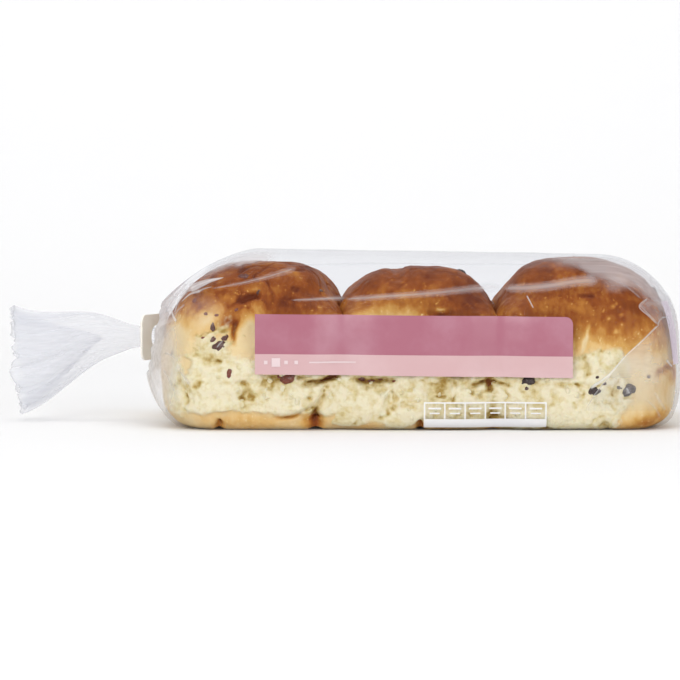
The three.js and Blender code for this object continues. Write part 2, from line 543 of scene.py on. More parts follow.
@dataclass(frozen=True)
class BreadFinish:
    """Baked crust and torn crumb in one skin; masks bake, torn and pit, the last painted shade."""

    crust: Stops = (
        (0, (0.82, 0.64, 0.35)),
        (0.13, (0.75, 0.49, 0.19)),
        (0.23, (0.64, 0.355, 0.095)),
        (0.45, (0.45, 0.17, 0.03)),
        (0.7, (0.275, 0.07, 0.012)),
        (1, (0.14, 0.028, 0.007)),
    )
    # The darker crumb colours are painted shade, for pits, hollows, the cleft and creases.
    crumb: Stops = (
        (0, (0.845, 0.77, 0.545)),
        (0.3, (0.72, 0.605, 0.325)),
        (0.6, (0.44, 0.295, 0.08)),
        (1, (0.18, 0.052, 0.012)),
    )
    crust_gloss: float = 0.48
    crumb_gloss: float = 0.9
    patch_sizes: tuple[float, ...] = (17, 5, 2.2, 1.1)
    detail: float = 3
    wrinkle_size: float = 2.2
    wrinkle_stretch: Triple = (1, 1, 0.3)
    spot_size: float = 1.5
    spot_range: Range = (0.66, 0.76)
    bake_changes: Triple = (0.62, 0.55, 0.42)
    spot_bake: float = -0.3
    baked_range: Range = (0.05, 0.45)
    unbaked_change: float = 0.25
    edge_changes: Range = (1, 0.7)
    edge_range: Range = (0.2, 0.8)
    shred_changes: Range = (0.75, 0.6)
    pore_height: float = 0.5
    relief_range: Range = (-0.6, 1)
    bump: Range = (0.5, 0.8)
    glow: float = 0.12
    glow_colour: Colour = (0.9, 0.5, 0.2)
    glow_depth: float = 2.5
    shine: float = 0.12

    def material(self) -> Material:
        """Build the bread's material.

        The bake mask, with three sizes of patches and pale spots, picks a crust colour from a ramp.
        The torn mask, with ragged edges, covers it with crumb, with painted shade in its pits and
        hollows.

        Returns:
            The finished material.
        """
        material, tree = new_material("bread")
        broad, patch, grain, pores = (tree.mottle(size, self.detail) for size in self.patch_sizes)
        wrinkle = tree.mottle(self.wrinkle_size, self.detail, self.wrinkle_stretch)
        spots = tree.step(tree.mottle(self.spot_size, 1), *self.spot_range)
        uneven = tree.uneven(*zip((broad, patch, wrinkle), self.bake_changes))
        uneven = tree.math("ADD", uneven, tree.math("MULTIPLY", spots, self.spot_bake))
        even = tree.mask("bake")
        baked = tree.step(even, *self.baked_range)
        amount = tree.scaled(baked, 1 - self.unbaked_change, self.unbaked_change)
        bake = tree.math("ADD", even, tree.math("MULTIPLY", amount, uneven), clamp=True)
        crust = tree.ramp(bake, self.crust)
        ragged = tree.uneven(*zip((grain, patch), self.edge_changes))
        torn = tree.step(tree.math("ADD", tree.mask("torn"), ragged), *self.edge_range)
        shreds = tree.uneven(*zip((grain, patch), self.shred_changes))
        # Painted shade: the pit mask darkens the crumb in pits, hollows and creases.
        crumb = tree.ramp(tree.math("ADD", tree.mask("painted_crumb_shade"), shreds, clamp=True), self.crumb)
        fine = tree.math("MULTIPLY", pores, self.pore_height)
        soft = tree.math("ADD", fine, tree.math("ADD", grain, wrinkle))
        height = tree.math("MULTIPLY", soft, tree.step(torn, *self.relief_range))
        shader = tree.add("BsdfPrincipled", {
            "Base Color": tree.tint(torn, crust, crumb),
            "Roughness": tree.scaled(torn, self.crumb_gloss - self.crust_gloss, self.crust_gloss),
            "Subsurface Weight": self.glow,
            "Subsurface Radius": self.glow_colour,
            "Subsurface Scale": self.glow_depth * MM,
            "Specular IOR Level": self.shine,
            "Normal": tree.bumped(height, *self.bump),
        })
        tree.finish(shader)
        return material


@dataclass(frozen=True)
class FruitFinish:
    """Raisins and currants: dark and slightly glossy, browner where the mask tone is high."""

    dark: Colour = (0.036, 0.018, 0.015)
    brown: Colour = (0.21, 0.035, 0.012)
    bloom: Colour = (0.34, 0.27, 0.24)
    patch_size: float = 2.4
    bloom_range: Range = (0.5, 0.75)
    bloom_share: float = 0.35
    wrinkle_size: float = 0.8
    wrinkle_detail: float = 3
    bump: Range = (0.6, 0.5)
    gloss: Range = (0.3, 0.7)
    coat: float = 0.25
    coat_gloss: float = 0.25

    def material(self) -> Material:
        """Build the fruit's material, with a pale bloom in patches and fine wrinkles.

        Returns:
            The finished material.
        """
        material, tree = new_material("dried_fruit")
        patch = tree.mottle(self.patch_size)
        wrinkle = tree.mottle(self.wrinkle_size, self.wrinkle_detail)
        skin = tree.tint(tree.mask("tone"), self.dark, self.brown)
        dust = tree.math("MULTIPLY", tree.step(patch, *self.bloom_range), self.bloom_share)
        shader = tree.add("BsdfPrincipled", {
            "Base Color": tree.tint(dust, skin, self.bloom),
            "Roughness": tree.scaled(patch, self.gloss[1] - self.gloss[0], self.gloss[0]),
            "Coat Weight": self.coat,
            "Coat Roughness": self.coat_gloss,
            "Normal": tree.bumped(wrinkle, *self.bump),
        })
        tree.finish(shader)
        return material


@dataclass(frozen=True)
class FilmFinish:
    """Thin clear film that turns milky where the mask haze is high and pale where loose is high."""

    clear: Colour = (0.93, 0.934, 0.948)
    edge: Colour = (0.76, 0.765, 0.79)
    loose: Colour = (0.965, 0.967, 0.976)
    milk: Colour = (0.85, 0.857, 0.885)
    glow: float = 0.4
    gloss: float = 0.08
    head_on: float = 0.002
    grazing: float = 0.55
    sharpness: float = 6
    streaks: float = 0.7
    streak_size: float = 2.6
    streak_stretch: Triple = (0.1, 1, 1)
    milk_gloss: float = 0.45
    milk_shine: float = 0.2

    def material(self) -> Material:
        """Build the film's material.

        Clear film lets light straight through, takes more of it the flatter it is seen, and then
        reflects more too. The haze mask, with long streaks, mixes in a milky surface.

        Returns:
            The finished material.
        """
        material, tree = new_material("film")
        flatness = tree.add("LayerWeight", {"Blend": 0.5}).outputs["Facing"]
        loose = tree.mask("loose")
        taut = tree.math("SUBTRACT", 1, loose)
        sheen = tree.math("POWER", flatness, self.sharpness)
        rim = tree.math("MULTIPLY", sheen, taut)
        share = tree.scaled(rim, self.grazing, self.head_on)
        base = tree.tint(loose, self.clear, self.loose)
        through = tree.add("BsdfTransparent", {"Color": tree.tint(rim, base, self.edge)})
        mirror = tree.add("BsdfGlossy", {"Color": opaque(EVEN), "Roughness": self.gloss})
        clear = tree.add("MixShader", {0: share, 1: through.outputs[0], 2: mirror.outputs[0]})
        streak = tree.mottle(self.streak_size, stretch=self.streak_stretch)
        uneven = tree.scaled(streak, self.streaks, 1 - 0.5 * self.streaks)
        haze = tree.math("MULTIPLY", tree.mask("haze"), uneven, clamp=True)
        milky = tree.add("BsdfPrincipled", {
            "Base Color": opaque(self.milk),
            "Roughness": self.milk_gloss,
            "Specular IOR Level": self.milk_shine,
        })
        lit = tree.add("BsdfTranslucent", {"Color": opaque(self.milk)})
        veil = tree.add("MixShader", {0: self.glow, 1: milky.outputs[0], 2: lit.outputs[0]})
        mixed = tree.add("MixShader", {0: haze, 1: clear.outputs[0], 2: veil.outputs[0]})
        tree.finish(mixed)
        return material


@dataclass(frozen=True)
class PrintFinish:
    """Ink on the film: one colour, slightly uneven, with the film's gloss."""

    name: str
    ink: Colour
    worn: Colour
    gloss: float = 0.32
    cloud_size: float = 22
    grain_size: float = 3
    grain_share: float = 0.2
    worn_range: Range = (0.35, 0.75)
    bump: Range = (0.12, 0.6)

    def material(self) -> Material:
        """Build the ink's material, with soft patches where it lies thinner.

        Returns:
            The finished material.
        """
        material, tree = new_material(self.name)
        broad, fine = tree.mottle(self.cloud_size, 1), tree.mottle(self.grain_size)
        cloud = tree.math("ADD", broad, tree.uneven((fine, self.grain_share)))
        thin = tree.step(cloud, *self.worn_range)
        shader = tree.add("BsdfPrincipled", {
            "Base Color": tree.tint(thin, self.ink, self.worn),
            "Roughness": self.gloss,
            "Normal": tree.bumped(broad, *self.bump),
        })
        tree.finish(shader)
        return material


ROSE_INK = PrintFinish("rose_ink", (0.38, 0.128, 0.18), (0.43, 0.185, 0.24))
PALE_INK = PrintFinish("pale_ink", (0.6, 0.385, 0.395), (0.63, 0.43, 0.44))
WHITE_INK = PrintFinish("white_ink", (0.8, 0.8, 0.81), (0.76, 0.76, 0.78))
BLUSH_INK = PrintFinish("blush_ink", (0.72, 0.58, 0.59), (0.7, 0.54, 0.55))
LILAC_INK = PrintFinish("lilac_ink", (0.66, 0.56, 0.63), (0.56, 0.44, 0.53))


@dataclass(frozen=True)
class ClipFinish:
    """Beige moulded plastic with a faint grain."""

    pale: Colour = (0.98, 0.93, 0.83)
    deep: Colour = (0.96, 0.9, 0.79)
    cloud_size: float = 6
    grain_size: float = 0.5
    bump: Range = (0.2, 0.1)
    gloss: Range = (0.35, 0.65)
    glow: float = 0.3
    glow_colour: Colour = (1, 0.9, 0.8)
    glow_depth: float = 4

    def material(self) -> Material:
        """Build the clip's material.

        Returns:
            The finished material.
        """
        material, tree = new_material("clip_plastic")
        cloud, grain = tree.mottle(self.cloud_size), tree.mottle(self.grain_size)
        shader = tree.add("BsdfPrincipled", {
            "Base Color": tree.tint(cloud, self.pale, self.deep),
            "Roughness": tree.scaled(grain, self.gloss[1] - self.gloss[0], self.gloss[0]),
            "Subsurface Weight": self.glow,
            "Subsurface Radius": self.glow_colour,
            "Subsurface Scale": self.glow_depth * MM,
            "Normal": tree.bumped(grain, *self.bump),
        })
        tree.finish(shader)
        return material


# The form of the bag


@dataclass(frozen=True)
class FilmForm:
    """The bag's outer form: a flat-based section along the buns, a folded end and a gathered end.

    Directions round the section are turns from the front, a quarter turn being the top.
    """

    half_length: float
    half_depth: float
    height: float = 77
    height_at_fold: float = 74.5
    bun_pitch: float = 68.5
    middle_bun_x: float = 35
    side_level: float = 33
    shoulder_power: float = 3.6
    foot_power: float = 9
    base_cut: float = 1.4
    top_tilt: float = 1.5
    gap_dip: float = 3
    gap_sharpness: float = 6
    gather_low_x: float = -64
    gather_high_x: float = -37
    gather_wall_x: Range = (-89, -87)
    gather_power: Range = (2, 1.5)
    neck_level: float = 37.5
    dimple_x: float = -78.4
    dimple_outer: float = 0.42
    dimple_inner: float = 0.29
    fold_low_x: float = 131
    fold_high_x: float = 113
    fold_power: Range = (3, 2.1)
    fold_level: float = 36
    wave: Swell = Swell(0.32, 26)
    tension: Swell = Swell(0.2, 7)
    tension_stretch: Triple = (0.16, 1, 1)
    ripple_seed: int = 11

    @property
    def first_gap_x(self) -> float:
        """Place of the gap between the first and the middle bun."""
        return self.middle_bun_x - self.bun_pitch / 2

    def height_along(self, x: Array) -> Array:
        """Height of the taut film, falling slowly towards the folded end."""
        share = (x - self.gather_high_x) / (self.fold_high_x - self.gather_high_x)
        return lerp(self.height, self.height_at_fold, np.clip(share, 0, 1))

    def section(self, x: Any, turn: Any) -> tuple[Array, Array]:
        """Depth and level of the section at a place along the bag.

        The radius from the section's centre is that of a superellipse, (|cos / half depth|^n +
        |sin / rise|^n)^(-1/n), with a squarer power below than above. The base is cut flat, and the
        top tilts up towards the front.

        Args:
            x: Place along the bag.
            turn: Direction from the front.

        Returns:
            The depth, negative at the front, and the level.
        """
        x = np.asarray(x, dtype=np.float64)
        cos, sin = np.cos(turn), np.sin(turn)
        up = sin >= 0
        power = np.where(up, self.shoulder_power, self.foot_power)
        rise = np.where(up, self.height_along(x) - self.side_level, self.side_level + self.base_cut)
        gap = 0.5 + 0.5 * np.cos(TURN * (x - self.first_gap_x) / self.bun_pitch)
        half_depth = self.half_depth - self.gap_dip * gap ** self.gap_sharpness
        radius = (np.abs(cos / half_depth) ** power + np.abs(sin / rise) ** power) ** (-1 / power)
        depth = -radius * cos
        lift = radius * sin
        tilt = np.where(up, self.top_tilt * (-depth / half_depth) * lift / rise, 0)
        return depth, np.maximum(0, self.side_level + lift + tilt)

    def level_share(self, turn: Any) -> Array:
        """How high a direction lies on the section, 0 on the base and 1 at the top."""
        level = self.section(self.middle_bun_x, turn)[1]
        return level / self.height_along(np.asarray(self.middle_bun_x))

    def gather_start(self, turn: Any) -> Array:
        """Where the full section stops at the gathered end."""
        return lerp(self.gather_low_x, self.gather_high_x, self.level_share(turn) ** 2)

    def fold_start(self, turn: Any) -> Array:
        """Where the full section stops at the folded end."""
        return lerp(self.fold_low_x, self.fold_high_x, self.level_share(turn))

    def body(self, share: Any, turn: Any) -> Array:
        """Points of the wrapped middle, from the folded end to the gathered end."""
        x = lerp(self.fold_start(turn), self.gather_start(turn), share)
        return stacked(x, *self.section(x, turn))

    def fold(self, share: Any, turn: Any) -> Array:
        """Points of the folded end: the section shrunk to a share of itself over a rounded wall."""
        start = self.fold_start(turn)
        power = lerp(*self.fold_power, self.level_share(turn))
        x = start + (self.half_length - start) * (1 - share ** power) ** (1 / power)
        depth, level = self.section(start, turn)
        return stacked(x, depth * share, self.fold_level + (level - self.fold_level) * share)

    def gather(self, share: Any, turn: Any) -> Array:
        """Points of the gathered end: the section drawn in to the neck over a bulging wall.

        The wall bulges under and over the neck, is a flatter cone at the sides, and dimples inwards
        where it meets the neck.

        Args:
            share: How much of the section is left.
            turn: Direction from the front.

        Returns:
            One point for each share and turn.
        """
        start = self.gather_start(turn)
        depth, level = self.section(start, turn)
        side = np.abs(depth / self.half_depth) ** self.shoulder_power
        power = lerp(*self.gather_power, self.level_share(turn))
        bulge = (1 - share ** power) ** (1 / power)
        wall = lerp(start, lerp(*self.gather_wall_x, side), bulge)
        dimple = 1 - smoothstep(share, self.dimple_inner, self.dimple_outer)
        x = lerp(wall, self.dimple_x, dimple)
        return stacked(x, depth * share, self.neck_level + (level - self.neck_level) * share)

    def ripple(self, points: Array) -> Array:
        """How far the film stands off the even form: broad waves and long lines of tension."""
        noise = Noise(self.ripple_seed)
        return self.wave.at(noise, points) + self.tension.at(noise, points * self.tension_stretch)


class Relief:
    """A side of the film as a distance over places across it and levels, for what lies on it."""

    MARGIN = 0.25
    OUTWARDS = 1
    ORDER = [0, 1, 2]

    def __init__(self, form: FilmForm) -> None:
        """Keep the bag's form."""
        self.form = form

    def lookup(self, across: Array, z: Array) -> Array:
        """The side's distance at any places.

        Args:
            across: Places across the side.
            z: Levels.

        Returns:
            One distance for each place.
        """
        raise NotImplementedError

    def arranged(self, across: Any, out: Any, z: Any) -> Array:
        """Coordinates in the order of the part's axes."""
        return stacked(across, out, z)[..., self.ORDER]

    def place(self, across: Array, z: Array, lift: Any) -> Array:
        """Points on the rippled film, or lifted off it along its normals.

        A normal is (-slope across, 1, -slope upwards), turned to the outside.

        Args:
            across: Places across the side.
            z: Levels.
            lift: Distance outwards from the film.

        Returns:
            One point for each place.
        """
        step = self.MARGIN
        points = self.arranged(across, self.lookup(across, z), z)
        slope = self.lookup(across + step, z) - self.lookup(across - step, z)
        climb = self.lookup(across, z + step) - self.lookup(across, z - step)
        normals = self.OUTWARDS * self.arranged(-slope, 2 * step, -climb)
        normals /= np.linalg.norm(normals, axis=-1, keepdims=True)
        return points + normals * (self.form.ripple(points) + lift)[..., None]


class FrontRelief(Relief):
    """The film's front as a depth over length and level."""

    OUTWARDS = -1
    STEP = 0.5
    LEFT, RIGHT = -79, 150.5
    LOW, HIGH = 0.3, 75.5
    LEVELS = 400
    ROWS, COLUMNS = 90, 721
    LOWEST_TURN = -0.499 * math.pi

    def __init__(self, form: FilmForm) -> None:
        """Work the table out by carrying each direction's line along the bag, then up each place.

        Args:
            form: The bag's form.
        """
        super().__init__(form)
        turn = np.linspace(self.LOWEST_TURN, 0.5 * math.pi, self.COLUMNS)[None, :]
        fold = form.fold(np.sin(0.5 * math.pi * along(self.ROWS)), turn)
        body = form.body(along(self.ROWS), turn)
        gather = form.gather(lerp(1, form.dimple_outer, along(self.ROWS)), turn)
        lines = np.concatenate([fold, body[1:], gather[1:]])[::-1]
        self.x = np.arange(self.LEFT, self.RIGHT, self.STEP)
        crowded = 0.5 - 0.5 * np.cos(np.linspace(0, math.pi, self.LEVELS))
        self.z = lerp(self.LOW, self.HIGH, crowded)
        columns = np.moveaxis(lines, 1, 0)
        depth = np.stack([np.interp(self.x, line[:, 0], line[:, 1]) for line in columns], axis=1)
        level = np.stack([np.interp(self.x, line[:, 0], line[:, 2]) for line in columns], axis=1)
        self.depth = np.stack([np.interp(self.z, up, out) for up, out in zip(level, depth)])

    def lookup(self, across: Array, z: Array) -> Array:
        """Depth at any places, blended from the four nearest entries of the table."""
        i = np.clip((across - self.LEFT) / self.STEP, 0, len(self.x) - 1 - TINY)
        k = np.clip(np.interp(z, self.z, np.arange(self.LEVELS)), 0, self.LEVELS - 1 - TINY)
        low, left = k.astype(int), i.astype(int)
        up, right = k - low, i - left
        lower = lerp(self.depth[left, low], self.depth[left + 1, low], right)
        upper = lerp(self.depth[left, low + 1], self.depth[left + 1, low + 1], right)
        return lerp(lower, upper, up)


class EndRelief(Relief):
    """One of the film's ends as a place along the bag over depth and level."""

    ORDER = [1, 0, 2]
    COLUMNS = 1441

    def __init__(
        self, form: FilmForm, surface: Callable[[Any, Any], Array], start: Array, centre: float
    ) -> None:
        """Tabulate the outline from which the end sets off, by its bearing from the end's centre.

        Args:
            form: The bag's form.
            surface: The end's points for a share of the outline and a direction.
            start: Where the full section stops, for `directions`.
            centre: Level of the end's centre.
        """
        super().__init__(form)
        self.surface = surface
        self.centre = centre
        self.turn = self.directions()
        depth, level = form.section(start, self.turn)
        self.bearing = np.unwrap(np.arctan2(level - centre, -depth))
        self.reach = np.hypot(depth, level - centre)

    @classmethod
    def directions(cls) -> Array:
        """Directions round the section that the table holds."""
        return np.linspace(-math.pi, math.pi, cls.COLUMNS)

    @classmethod
    def folded(cls, form: FilmForm) -> "EndRelief":
        """The folded end."""
        return cls(form, form.fold, form.fold_start(cls.directions()), form.fold_level)

    @classmethod
    def gathered(cls, form: FilmForm) -> "EndRelief":
        """The gathered end."""
        return cls(form, form.gather, form.gather_start(cls.directions()), form.neck_level)

    def lookup(self, across: Array, z: Array) -> Array:
        """Place along the bag at any depths and levels, or at the outline's edge for those outside."""
        rise = z - self.centre
        turn = np.interp(np.arctan2(rise, -across), self.bearing, self.turn, period=TURN)
        share = np.clip(np.hypot(across, rise) / np.interp(turn, self.turn, self.reach), 0, 1)
        return self.surface(share, turn)[..., 0]


@dataclass(frozen=True)
class FilmRoom:
    """The room inside the film, which its contents settle into.

    Attributes:
        front: The film's front, and mirrored its back.
        fold: Its folded end.
        gather: Its gathered end.
        clearance: Least distance from the film.
        floor: Level of the film's base, inside.
    """

    front: FrontRelief
    fold: EndRelief
    gather: EndRelief
    clearance: float = 0.9
    floor: float = 0.3

    @staticmethod
    def held(room: Array, soft: float) -> Array:
        """Distance to the film, kept above 0 by an exponential where it is below the soft limit."""
        return np.where(room > soft, room, soft * np.exp(np.minimum(room - soft, 0) / soft))

    def press(self, points: Array, soft: float) -> Array:
        """Move points off the film into the room, across the bag first and then along it.

        Args:
            points: Places in or near the room.
            soft: Distance from the film at which they start to be held back.

        Returns:
            The places inside the room.
        """
        x, y, z = points[..., 0], points[..., 1], points[..., 2]
        wall = self.front.lookup(x, z) + self.clearance
        y = wall + self.held(y - wall, soft)
        y = -wall - self.held(-wall - y, soft)
        right = self.fold.lookup(y, z) - self.clearance
        left = self.gather.lookup(y, z) + self.clearance
        x = right - self.held(right - x, soft)
        x = left + self.held(x - left, soft)
        return stacked(x, y, np.maximum(z, self.floor))


# The film


@dataclass(frozen=True)
class HazePatch:
    """A soft milky patch of the film's front: centre, half sizes, lean in degrees and strength."""

    x: float
    z: float
    half_x: float
    half_z: float
    lean: float
    strength: float

    CORE = 0.2
    FRONT = 20

    def at(self, points: Array) -> Array:
        """The patch's haze at points on the front half, fading from its core to its edge."""
        turn = math.radians(self.lean)
        dx, dz = points[..., 0] - self.x, points[..., 2] - self.z
        u = (dx * math.cos(turn) + dz * math.sin(turn)) / self.half_x
        v = (dz * math.cos(turn) - dx * math.sin(turn)) / self.half_z
        inside = 1 - smoothstep(np.sqrt(u * u + v * v), self.CORE, 1)
        return self.strength * inside * smoothstep(-points[..., 1], 0, self.FRONT)


@dataclass(frozen=True)
class HazeCap:
    """Slack film over a shoulder of the front, milky above a line.

    Attributes:
        line: Corners of the line along the bag, from left to right, and up it.
        strength: Haze above the line.
        soft: Height over which the haze sets in.
        wander: How far the line strays.
        depths: Depths in front of the middle between which the haze sets in.
        run_out: Length over which it fades at either end of the line.
        seed: Seed of its straying.
    """

    line: Line
    strength: float
    soft: float = 2
    wander: Swell = Swell(1.6, 9, 3)
    depths: Range = (24, 56)
    run_out: float = 10
    seed: int = 43

    def at(self, points: Array) -> Array:
        """The cap's haze: 0 below the line, rising to the full strength above it.

        Args:
            points: Places on the film.

        Returns:
            The haze at each place.
        """
        corners = np.asarray(self.line)
        x = points[..., 0]
        stray = self.wander.at(Noise(self.seed), points)
        above = points[..., 2] - np.interp(x, corners[:, 0], corners[:, 1]) + stray
        room = np.minimum(x - corners[0, 0], corners[-1, 0] - x)
        inside = smoothstep(room, 0, self.run_out)
        facing = smoothstep(-points[..., 1], *self.depths)
        return self.strength * smoothstep(above, 0, self.soft) * inside * facing


LEFT_SHOULDER = (
    (-89, 30), (-79, 43), (-74.2, 51.4), (-69.4, 59.6), (-57.3, 66.6), (-47.7, 69.4),
    (-25, 73.8),
)
RIGHT_SHOULDER = (
    (84, 76), (97, 69.5), (104, 67), (110, 61.8), (117.7, 59.2), (125.6, 59),
    (131, 56.5), (137, 52.5), (156, 40),
)


@dataclass
class FilmBag:
    """The clear film round the buns, from its folded end to its neck."""

    form: FilmForm
    columns: int = 320
    fold_rows: int = 46
    body_rows: int = 140
    gather_rows: int = 54
    neck_rows: int = 8
    neck_end_x: float = -87.3
    neck_radii: Range = (6.8, 4.2)
    neck_taper: float = 0.4
    neck_pleat: float = 0.12
    pleats: int = 23
    pleat_depth: float = 0.9
    pleat_waves: tuple[Triple, ...] = ((1.8, 2, 0.7), (1, 5, 2.1))
    drawn_range: Range = (0.08, 0.6)
    base_level: float = 1
    base_ripple: float = 0.3
    veil: float = 0.34
    streaking: float = 0.36
    streak_turns: float = 3
    streak_ring: float = 6.8
    streak_range: Range = (-0.1, 0.7)
    clear_haze: float = 0.003
    cloud_size: float = 18
    most_haze: float = 0.95
    loose_range: Range = (0, 0.2)
    patches: tuple[HazePatch | HazeCap, ...] = (
        HazeCap(RIGHT_SHOULDER, 0.52, 7),
        HazeCap(LEFT_SHOULDER, 0.62, 3),
        HazePatch(103, 69, 10, 2.6, -6, -0.2),
        HazePatch(115, 65, 8, 4, -20, -0.2),
        HazePatch(-79, 30, 13, 36, 0, 0.6),
        HazePatch(-60, 52, 13, 9, 0, 0.14),
        HazePatch(148, 11, 6, 13, 0, 0.3),
        HazePatch(148, 40, 7, 22, 0, 0.4),
    )

    def pleating(self, turn: Array) -> Array:
        """Uneven pleats round the neck, 0 on a crest and 1 in a valley: a cosine that waves stray."""
        waves = (height * np.sin(count * turn + start) for height, count, start in self.pleat_waves)
        return 0.5 - 0.5 * np.cos(self.pleats * turn + sum(waves))

    def neck(self, turn: Array) -> Array:
        """Points of the neck, narrowing from the dimple to the clip and then straight."""
        share = along(self.neck_rows)
        x = lerp(self.form.dimple_x, self.neck_end_x, share)
        radius = lerp(*self.neck_radii, smoothstep(share, 0, self.neck_taper))
        radius = radius * (1 - self.neck_pleat * self.pleating(turn))
        return ring(x, radius, self.form.neck_level, turn)

    def build(self, finish: Material) -> Piece:
        """Make the film.

        Rows run from the folded tip along the body to the neck. The even form is rippled along its
        normals and pleated towards the neck, and the haze follows the pleats.

        Args:
            finish: The film's material.

        Returns:
            The film as one piece.
        """
        form = self.form
        turn = around(self.columns)
        fold = form.fold(np.sin(0.5 * math.pi * along(self.fold_rows + 1))[1:-1], turn)
        body = form.body(along(self.body_rows), turn)
        drawn = np.cos(math.acos(form.dimple_inner) * along(self.gather_rows + 1))[1:]
        gather = form.gather(drawn, turn)
        neck = self.neck(turn)
        points = np.concatenate([fold, body, gather, neck])
        drawing = np.concatenate([
            np.zeros(len(fold) + len(body)),
            smoothstep(1 - drawn[:, 0], *self.drawn_range),
            np.linspace(1, 0, len(neck)),
        ])[:, None]
        soft = np.concatenate([np.ones(len(points) - len(neck)), np.zeros(len(neck))])[:, None]
        off = soft * form.ripple(points) - self.pleat_depth * drawing ** 2 * self.pleating(turn)
        flat = points[..., 2] < self.base_level
        off = np.where(flat, self.base_ripple * np.minimum(off, 0), off)
        points = points + grid_normals(points, True) * off[..., None]
        points[..., 2] = np.maximum(points[..., 2], 0)
        noise = Noise(form.ripple_seed + 1)
        haze = self.clear_haze * (1 + noise.at(points, self.cloud_size))
        circle = on_circle(self.streak_turns * turn, self.streak_ring)
        streaks = smoothstep(noise.layered(circle, 1, 3), *self.streak_range)
        haze = haze + drawing * (self.streaking * streaks + self.veil * drawing ** 2)
        haze = haze + sum(patch.at(points) for patch in self.patches)
        tip = (form.half_length, 0, form.fold_level)
        end = (self.neck_end_x, 0, form.neck_level)
        loose = np.broadcast_to(smoothstep(drawing, *self.loose_range), haze.shape)
        masks = {"haze": np.clip(haze, 0, self.most_haze), "loose": loose}
        skin = Skin(points, first_tip=tip, last_tip=end, masks=masks)
        return make_piece("film_bag", [skin], finish)


@dataclass
class FilmTail:
    """The loose film past the clip: a pleated fan that droops and ends raggedly."""

    form: FilmForm
    neck_x: float = -87
    neck_radius: float = 4.2
    start_x: float = -94
    start_radius: float = 5.5
    half_height: float = 24.2
    half_depth: float = 14
    drop: float = 10.4
    low_cut: float = 0.09
    pleats: int = 13
    pleat_depth: float = 0.17
    creases: int = 29
    crease_depth: float = 0.03
    growth: float = 0.85
    wander: float = 2.2
    wander_ring: float = 1.4
    ragged_cut: float = 0.15
    ragged_ring: float = 3.2
    drop_range: Range = (0.2, 0.95)
    haze: float = 0.3
    fibre_haze: float = 0.03
    fibre_ring: float = 9
    columns: int = 380
    neck_rows: int = 6
    rows: int = 70
    inner_rows: int = 26
    inner_scale: float = 0.9
    mouth_depth: float = 0.75
    rest: float = 0.6
    seed: int = 23

    def fan(self, share: Array, turn: Array, inside: Any) -> Array:
        """Points of the fan.

        An ellipse grows from the neck with the share along it and drops, and its radius is cut by
        deep pleats and fine creases that grow towards the end.

        Args:
            share: Share of the way from the neck to the end.
            turn: Direction from the front.
            inside: Scale of the section, 1 for the outer face.

        Returns:
            One point for each share and turn.
        """
        noise = Noise(self.seed)
        wander = self.wander * noise.at(on_circle(turn, self.wander_ring), 1)
        ragged = np.clip(noise.layered(on_circle(turn, self.ragged_ring), 1, 3), -1, 1)
        low = (1 - np.sin(turn)) / 2
        reach = 1 - self.low_cut * low ** 2 - self.ragged_cut * (0.5 + 0.5 * ragged)
        growth = share ** self.growth
        deep = self.pleat_depth * growth * (0.5 - 0.5 * np.cos(self.pleats * turn + wander))
        fine = self.crease_depth * growth * np.cos(self.creases * turn + 2 * wander)
        cut = inside * (1 - deep - fine)
        half_height = lerp(self.start_radius, self.half_height, share) * cut
        half_depth = lerp(self.start_radius, self.half_depth, share) * cut
        x = lerp(self.start_x, -self.form.half_length, share * reach)
        middle = self.form.neck_level - self.drop * smoothstep(share, *self.drop_range)
        level = np.maximum(middle + half_height * np.sin(turn), self.rest)
        return stacked(x, -half_depth * np.cos(turn), level)

    def neck(self, turn: Array) -> Array:
        """Points of the plain neck between the clip and the fan."""
        share = along(self.neck_rows + 1)[:-1]
        radius = lerp(self.neck_radius, self.start_radius, share)
        x = lerp(self.neck_x, self.start_x, share)
        return ring(x, radius, self.form.neck_level, turn)

    def build(self, finish: Material) -> Piece:
        """Make the tail: its outer face out to the ragged end, its inner face back into the mouth.

        Args:
            finish: The film's material.

        Returns:
            The tail as one piece.
        """
        turn = around(self.columns)
        depth = along(self.inner_rows + 1)[1:-1]
        outer = self.fan(along(self.rows), turn, 1)
        narrowing = self.inner_scale * (1 - depth ** 2)
        inner = self.fan(1 - self.mouth_depth * depth, turn, narrowing)
        points = np.concatenate([self.neck(turn), outer, inner])
        fibres = Noise(self.seed + 1).layered(on_circle(turn, self.fibre_ring), 1, 3)
        haze = np.broadcast_to(self.haze + self.fibre_haze * fibres, points.shape[:2])
        start = (self.neck_x, 0, self.form.neck_level)
        mouth = tuple(inner[-1].mean(axis=0))
        masks = {"haze": haze, "loose": np.ones(haze.shape)}
        skin = Skin(points, first_tip=start, last_tip=mouth, masks=masks)
        return make_piece("film_tail", [skin], finish)


